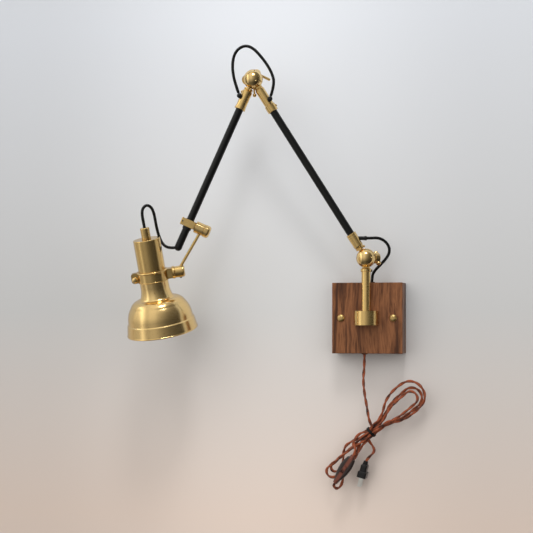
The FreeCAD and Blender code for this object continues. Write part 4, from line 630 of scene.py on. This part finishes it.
HEAD_FLEX_ROUTE = [in_arms(*p) for p in [
    (-374, -22.6, 172), (-373.2, -22.6, 182), (-367, -19.6, 188.6), (-359.6, -14.4, 185.6),
    (-355.6, -8.6, 177), (-353.4, -2, 163), (-351, 4, 148.5), (-347, 7, 134.5), (-341, 4, 123.5)]]
# a grommet's place: along the tube's axis, degrees out of the arms' plane, out of the tube's axis
ARM1_GROMMET = (310.8, 57, 10.4)
ARM2_GROMMET = (35.2, 35, 11.1)
GROMMET_REACH = 4.55
ARM2_END = 0.3087         # elbow's centre to the open end of arm 2
BOOT_INSIDE, BOOT_OUTSIDE = 0.002, 0.0155
NIPPLE_INSIDE, NIPPLE_TOP, NIPPLE_CLEAR = 0.056, 0.082, 0.006     # from the ring's centre, up the head


def arms_direction(x, z):
    """A direction in the arms' plane as a unit vector of the model."""
    return (in_arms(x, 0, z) - STEM).normalized()


def grommet_centre(root, axis, across, place):
    """Centre of a round grommet in the side of a tube that starts at root."""
    at, out, side = place
    forward = axis.cross(across)
    turn = math.radians(out)
    return root + axis * at * MM + (across * math.cos(turn) - forward * math.sin(turn)) * side * MM


def outside(centre, toward):
    """Where a flex leaves a round grommet for the next point of its route."""
    return centre + (toward - centre).normalized() * GROMMET_REACH * MM


# ---------------------------------------------------------------- operators
class LAMP_OT_camera(bpy.types.Operator):
    """Camera square to the arms' plane, level with the box"""
    bl_idname = "lamp.camera"
    bl_label = "Camera"

    def execute(self, context):
        data = bpy.data.cameras.new("camera")
        data.sensor_width = 36.0
        data.lens = LENS
        data.shift_y = LENS_SHIFT
        data.clip_end = 30.0
        camera = bpy.data.objects.new("camera", data)
        context.scene.collection.objects.link(camera)
        distance = context.scene.lamp_stage.distance
        camera.location = ARMS @ Vector((CAMERA_ACROSS, -distance, 0.0))
        camera.rotation_euler = (math.pi / 2, 0, SWING)
        context.scene.camera = camera
        return {"FINISHED"}


class LAMP_OT_mains_cord(bpy.types.Operator):
    """Twisted mains cord from the gland through its tied loops to the switch and the plug"""
    bl_idname = "lamp.mains_cord"
    bl_label = "Mains cord"

    def execute(self, context):
        props = context.scene.lamp_leads
        tree = lead_tree("twisted_pair", 2)
        cover = woven_cover()
        for name, route, gone, start, far, pieces in (
                ("mains_cord", MAINS_ROUTE, ("mains_lead", "cord_hank"), GLAND, "fitting",
                 [nodes["switch_case"], nodes["switch_button"]]),
                ("plug_cord", PLUG_ROUTE, ("plug_lead",), PLUG_ROUTE[0], "plug",
                 [nodes["plug_body"], nodes["plug_blades"]])):
            line = smooth_line(route)
            cord = cover_line(name, line, tree, props.mains_radius, cover, props.lay, CORD_STEP, CORD_SIDES)
            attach(cord, "wall")
            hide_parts(*gone)
        return {"FINISHED"}


class LAMP_OT_cord_tie(bpy.types.Operator):
    """Soft wire wound three times round the bundle"""
    bl_idname = "lamp.cord_tie"
    bl_label = "Cord tie"

    def execute(self, context):
        cover = smooth_coat("tie_plastic", (0.006, 0.006, 0.006), 0.5, 900.0)
        points = []
        for i in range(TIE_STEPS + 1):
            angle = 2 * math.pi * TIE_TURNS * i / TIE_STEPS - math.pi * 0.5
            points.append(in_bundle(-TIE_WIDE / 2 + TIE_WIDE * i / TIE_STEPS, TIE_R * math.cos(angle),
                                    TIE_R * math.sin(angle) + 0.2))
        tree = lead_tree("tie_wire", 1)
        lay = context.scene.lamp_leads.lay
        tie = cover_line("tie_wrap", points, tree, TIE_WIRE_R, cover, lay, step=0.0012, sides=8)
        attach(tie, "wall")
        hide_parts("cord_tie")
        return {"FINISHED"}


class LAMP_OT_flexes(bpy.types.Operator):
    """Black flexes that loop past the base, the elbow and the head"""
    bl_idname = "lamp.flexes"
    bl_label = "Flexes"

    def execute(self, context):
        radius = context.scene.lamp_leads.flex_radius
        cover = smooth_coat("flex_black", (0.003, 0.003, 0.003), 0.42, 600.0)
        across1 = arms_direction(math.cos(ARM1_LEAN), math.sin(ARM1_LEAN))
        across2 = arms_direction(-math.cos(ARM2_LEAN), math.sin(ARM2_LEAN))
        start = grommet_centre(ELBOW, ARM2_AXIS, across2, ARM2_GROMMET)
        stop = grommet_centre(BASE_BALL, ARM1_AXIS, across1, ARM1_GROMMET)
        elbow = [outside(start, ELBOW_FLEX_ROUTE[0]), *ELBOW_FLEX_ROUTE, outside(stop, ELBOW_FLEX_ROUTE[-1])]
        boot = ELBOW + ARM2_AXIS * ARM2_END
        out = arms_direction(-1, -0.12)
        nipple = RING + HEAD_AXIS * NIPPLE_TOP
        head = ([RING + HEAD_AXIS * NIPPLE_INSIDE, nipple + HEAD_AXIS * NIPPLE_CLEAR] + HEAD_FLEX_ROUTE
                + [boot + out * BOOT_OUTSIDE, boot + out * BOOT_INSIDE])
        self.lay(list(reversed(BASE_FLEX_ROUTE)), "flex_base", ["wall", "stem", "arm1"], radius, cover)
        self.lay(elbow, "flex_elbow", ["arm2", "arm1"], radius, cover)
        self.lay(head, "flex_head", ["head", "ring", "rod", "clamp", "liner", "arm2"], radius, cover)
        dress(cover, "arm1_inner_lead", "arm2_inner_lead")
        return {"FINISHED"}

    @staticmethod
    def lay(route, node, bodies, radius, cover):
        """One lead as a chain of round stretches, one fewer than the bodies given, whose rings meet."""
        stretches = len(bodies) - 1
        line = even(smooth_line(route))
        across = Vector((0.3, 0.9, 0.2))
        for i, part in enumerate(cut_line(line, [(k + 1) / stretches for k in range(stretches - 1)])):
            part = even(part)
            name = node.replace("flex_", "lead_") + ("_%d" % (i + 1) if stretches > 1 else "")
            piece, across = ring_tube(name, part, radius, cover, across)
            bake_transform(piece)
            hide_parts(node)


class LAMP_OT_wood(bpy.types.Operator):
    """Walnut wall box"""
    bl_idname = "lamp.wood"
    bl_label = "Wall box"

    def execute(self, context):
        dress(walnut(), "wall_box")
        return {"FINISHED"}


class LAMP_OT_brass(bpy.types.Operator):
    """Brass of the hub, stem, knuckles, clamps, tie rod, ring, cup, shade and screws"""
    bl_idname = "lamp.brass"
    bl_label = "Brass"

    def execute(self, context):
        props = context.scene.lamp_brass
        base, bright, rough = tuple(props.colour), tuple(props.bright), props.roughness
        dress(cast_brass("brass_knuckle", base, rough - 0.03),
              "base_cup", "elbow_cup", "tube_clamp", "pivot_stud")
        dress(cast_brass("brass_polished", bright, rough - 0.08),
              "base_cap", "elbow_cap", "elbow_clamp_screw", "base_clamp_screw", "base_ball", "elbow_ball")
        dress(cast_brass("brass_ring_screw", bright, rough - 0.04), "ring_screw")
        for name, origin, axis, colour, finer, pieces in (
                ("brass_stem", STEM, Vector((0, 0, 1)), base, 0, ("hub", "stem", "stem_retainer")),
                ("brass_arm1", BASE_BALL, ARM1_AXIS, base, 0,
                 ("lower_ferrule", "upper_fitting", "arm1_fixings")),
                ("brass_arm2", ELBOW, ARM2_AXIS, base, 0, ("arm2_ferrule", "arm2_set_screws")),
                ("brass_pivot", CLAMP, PIVOT_AXIS, bright, 0.04, ("rod_eye", "pivot_knob")),
                ("brass_yoke", RING, YOKE_AXIS, base, 0.02, ("lower_barrel", "head_pin", "tie_rod")),
                ("brass_head", RING, HEAD_AXIS, base, 0.02, ("head_ring", "socket_cup", "cord_nipple"))):
            dress(turned_brass(name, origin, axis, colour, rough - finer), *pieces)
        dress(turned_brass("brass_shade", RING, HEAD_AXIS, bright, rough - 0.05, 0.10), "shade")
        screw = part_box("box_screws")[1] - Vector((SCREW_HEAD_R, 0, SCREW_HEAD_R))
        dress(turned_brass("brass_box_screws", screw, Vector((0, 1, 0)), toned(base, 0.8), rough + 0.08, 0.3,
                           True), "box_screws")
        return {"FINISHED"}


class LAMP_OT_tubes(bpy.types.Operator):
    """Satin black tubes of both arms and the sleeve under the clamp"""
    bl_idname = "lamp.tubes"
    bl_label = "Tubes"

    def execute(self, context):
        dress(smooth_coat("tube_black", (0.004, 0.004, 0.004), 0.30, 420.0), "arm1_tube", "arm2_tube")
        dress(smooth_coat("sleeve_black", (0.008, 0.008, 0.008), 0.45, 700.0), "clamp_liner")
        return {"FINISHED"}


class LAMP_OT_small_parts(bpy.types.Operator):
    """Rubber, steel and plastic pieces"""
    bl_idname = "lamp.small_parts"
    bl_label = "Small parts"

    def execute(self, context):
        dress(smooth_coat("rubber_black", (0.006, 0.006, 0.006), 0.5, 900.0, strength=0.15), "box_bushes",
              "arm1_grommets", "arm2_grommet", "arm2_end_boot")
        dress(smooth_coat("steel_zinc", (0.45, 0.45, 0.44), 0.34, 500.0, metallic=1.0), "wall_strap",
              "inner_screws")
        dress(smooth_coat("steel_dark", (0.16, 0.15, 0.13), 0.38, 500.0, metallic=1.0), "base_screws",
              "barrel_set_screw", "clamp_pinch_screw")
        dress(smooth_coat("terminal_ivory", (0.62, 0.60, 0.52), 0.42, 500.0), "terminal_block")
        return {"FINISHED"}


class LAMP_OT_lamp_parts(bpy.types.Operator):
    """Lamp socket and bulb inside the shade"""
    bl_idname = "lamp.lamp_parts"
    bl_label = "Socket and bulb"

    def execute(self, context):
        dress(smooth_coat("porcelain", (0.78, 0.77, 0.72), 0.2, 300.0, coat=0.6), "lamp_socket")
        dress(smooth_coat("socket_metal", (0.62, 0.58, 0.48), 0.3, 400.0, metallic=1.0), "socket_shell")
        dress(smooth_coat("bulb_base_white", (0.72, 0.72, 0.70), 0.4, 400.0), "bulb_base")
        dress(frosted_glass(), "bulb_glass")
        return {"FINISHED"}


class LAMP_OT_switch_and_plug(bpy.types.Operator):
    """Moulded switch and plug on the mains cord"""
    bl_idname = "lamp.switch_and_plug"
    bl_label = "Switch and plug"

    def execute(self, context):
        dress(striped_plastic(), "switch_case", "switch_button")
        dress(smooth_coat("plug_plastic", (0.006, 0.006, 0.006), 0.32, 700.0, coat=0.15), "plug_body")
        dress(smooth_coat("blade_metal", (0.66, 0.65, 0.62), 0.3, 500.0, metallic=1.0), "plug_blades")
        return {"FINISHED"}


class LAMP_OT_stage(bpy.types.Operator):
    """Pale wall behind the lamp, soft lights and surroundings"""
    bl_idname = "lamp.stage"
    bl_label = "Wall and light"

    def execute(self, context):
        props = context.scene.lamp_stage
        mesh = bpy.data.meshes.new("wall_plane")
        half, back = WALL_HALF, WALL_BACK
        mesh.from_pydata([(-half, back, -half), (half, back, -half), (half, back, half), (-half, back, half)],
                         [], [(0, 1, 2, 3)])
        mesh.materials.append(self.paint(props))
        wall = bpy.data.objects.new("wall_plane", mesh)
        context.scene.collection.objects.link(wall)
        for name, place, aim, size, share, glossy in LIGHTS:
            self.light(context, name, place, aim, size, props.key * share, glossy)
        self.surroundings(context)
        context.scene.view_settings.view_transform = "Standard"
        return {"FINISHED"}

    @staticmethod
    def paint(props):
        """Matt paint with painted light: warmer below, cooler above, and a painted pool of light brightest
        behind the lamp; clear from behind.
        """
        made, work, finish_with = material("painted_wall")
        split = work.add("SeparateXYZ")
        work.feed(split.inputs[0], work.coordinates())
        height = work.step(work.add("MapRange"), {
            "Value": split.outputs["Z"], "From Min": WALL_LOW_Z, "From Max": WALL_HIGH_Z}, "Result")
        # painted light: warm below, grey in the middle, cool above
        tone = work.ramp(height, [(0.0, tuple(props.wall_low_warm_light)), (0.42, GREY), (1.0, tuple(props.wall))])
        # painted pool of light: brightest behind the lamp, darker to the sides
        away = work.math("ABSOLUTE", work.math("ADD", split.outputs["X"], -PAINTED_POOL_X))
        painted_pool = work.step(work.add("MapRange", interpolation_type="SMOOTHSTEP"), {
            "Value": away, "From Max": PAINTED_POOL_FADE, "To Min": 1.10, "To Max": 0.90}, "Result")
        lit = work.step(work.add("VectorMath", operation="SCALE"), {0: tone, "Scale": painted_pool})
        finish_with(Base_Color=lit, Roughness=0.9, Specular_IOR_Level=0.1)
        own = work.tree.nodes
        seen = work.step(work.add("MixShader"), [work.add("NewGeometry").outputs["Backfacing"],
                                                 own["Principled BSDF"].outputs["BSDF"],
                                                 work.add("BsdfTransparent").outputs["BSDF"]])
        work.feed(own["Material Output"].inputs["Surface"], seen)
        return made

    @staticmethod
    def light(context, name, place, aim, size, power, glossy):
        data = bpy.data.lights.new(name, "AREA")
        data.shape = "SQUARE"
        data.size = size
        data.energy = power
        lamp = bpy.data.objects.new(name, data)
        lamp.location = place
        lamp.rotation_euler = (Vector(aim) - Vector(place)).to_track_quat("-Z", "Y").to_euler()
        lamp.visible_glossy = glossy
        context.scene.collection.objects.link(lamp)

    @staticmethod
    def surroundings(context):
        """A room with bright and dark upright bands, lighter above, that shows in the lamp's metal."""
        world = bpy.data.worlds.new("studio")
        context.scene.world = world
        world.use_nodes = True
        world.node_tree.nodes.clear()
        work = Nodes(world.node_tree)

        def along(part, stops):
            spot = work.step(work.add("MapRange"), {"Value": part, "From Min": -1.0}, "Result")
            return work.ramp(spot, [(at, (level, level * 0.985, level * 0.96)) for at, level in stops])
        split = work.add("SeparateXYZ")
        work.feed(split.inputs[0], work.add("TexCoord").outputs["Generated"])
        bands = along(split.outputs["X"], BANDS)
        rise = along(split.outputs["Z"], RISE)
        glow, plain = [work.step(work.add("Background"), {"Color": colour}, "Background")
                       for colour in (work.multiplied(bands, rise), (*GREY, 1))]
        seen = work.step(work.add("MixShader"), [work.add("LightPath").outputs["Is Camera Ray"], glow, plain])
        work.feed(work.add("OutputWorld").inputs["Surface"], seen)


class LAMP_PT_panel(bpy.types.Panel):
    """Sizes, colours and pieces of the wall lamp"""
    bl_idname = "LAMP_PT_panel"
    bl_label = "Wall Lamp"
    bl_space_type = "VIEW_3D"
    bl_region_type = "UI"
    bl_category = "Wall Lamp"

    def draw(self, context):
        layout = self.layout
        for group in PROPERTY_GROUPS:
            box = layout.box()
            owner = getattr(context.scene, group)
            for name in owner.__annotations__:
                box.prop(owner, name)
        for operator in OPERATORS:
            layout.operator(operator.bl_idname)


PROPERTY_GROUPS = {"lamp_brass": BrassProps, "lamp_wood": WoodProps, "lamp_leads": LeadProps,
                   "lamp_stage": StageProps}
OPERATORS = [LAMP_OT_camera, LAMP_OT_mains_cord, LAMP_OT_cord_tie, LAMP_OT_flexes, LAMP_OT_wood,
             LAMP_OT_brass, LAMP_OT_tubes, LAMP_OT_small_parts, LAMP_OT_lamp_parts,
             LAMP_OT_switch_and_plug, LAMP_OT_stage]


def register():
    for cls in [*PROPERTY_GROUPS.values(), *OPERATORS, LAMP_PT_panel]:
        bpy.utils.register_class(cls)
    for name, group in PROPERTY_GROUPS.items():
        setattr(bpy.types.Scene, name, bpy.props.PointerProperty(type=group))


def unregister():
    for name in PROPERTY_GROUPS:
        delattr(bpy.types.Scene, name)
    for cls in reversed([*PROPERTY_GROUPS.values(), *OPERATORS, LAMP_PT_panel]):
        bpy.utils.unregister_class(cls)


def main():
    register()
    for operator in OPERATORS:
        family, name = operator.bl_idname.split(".")
        getattr(getattr(bpy.ops, family), name)()


if __name__ == "__main__":
    main()
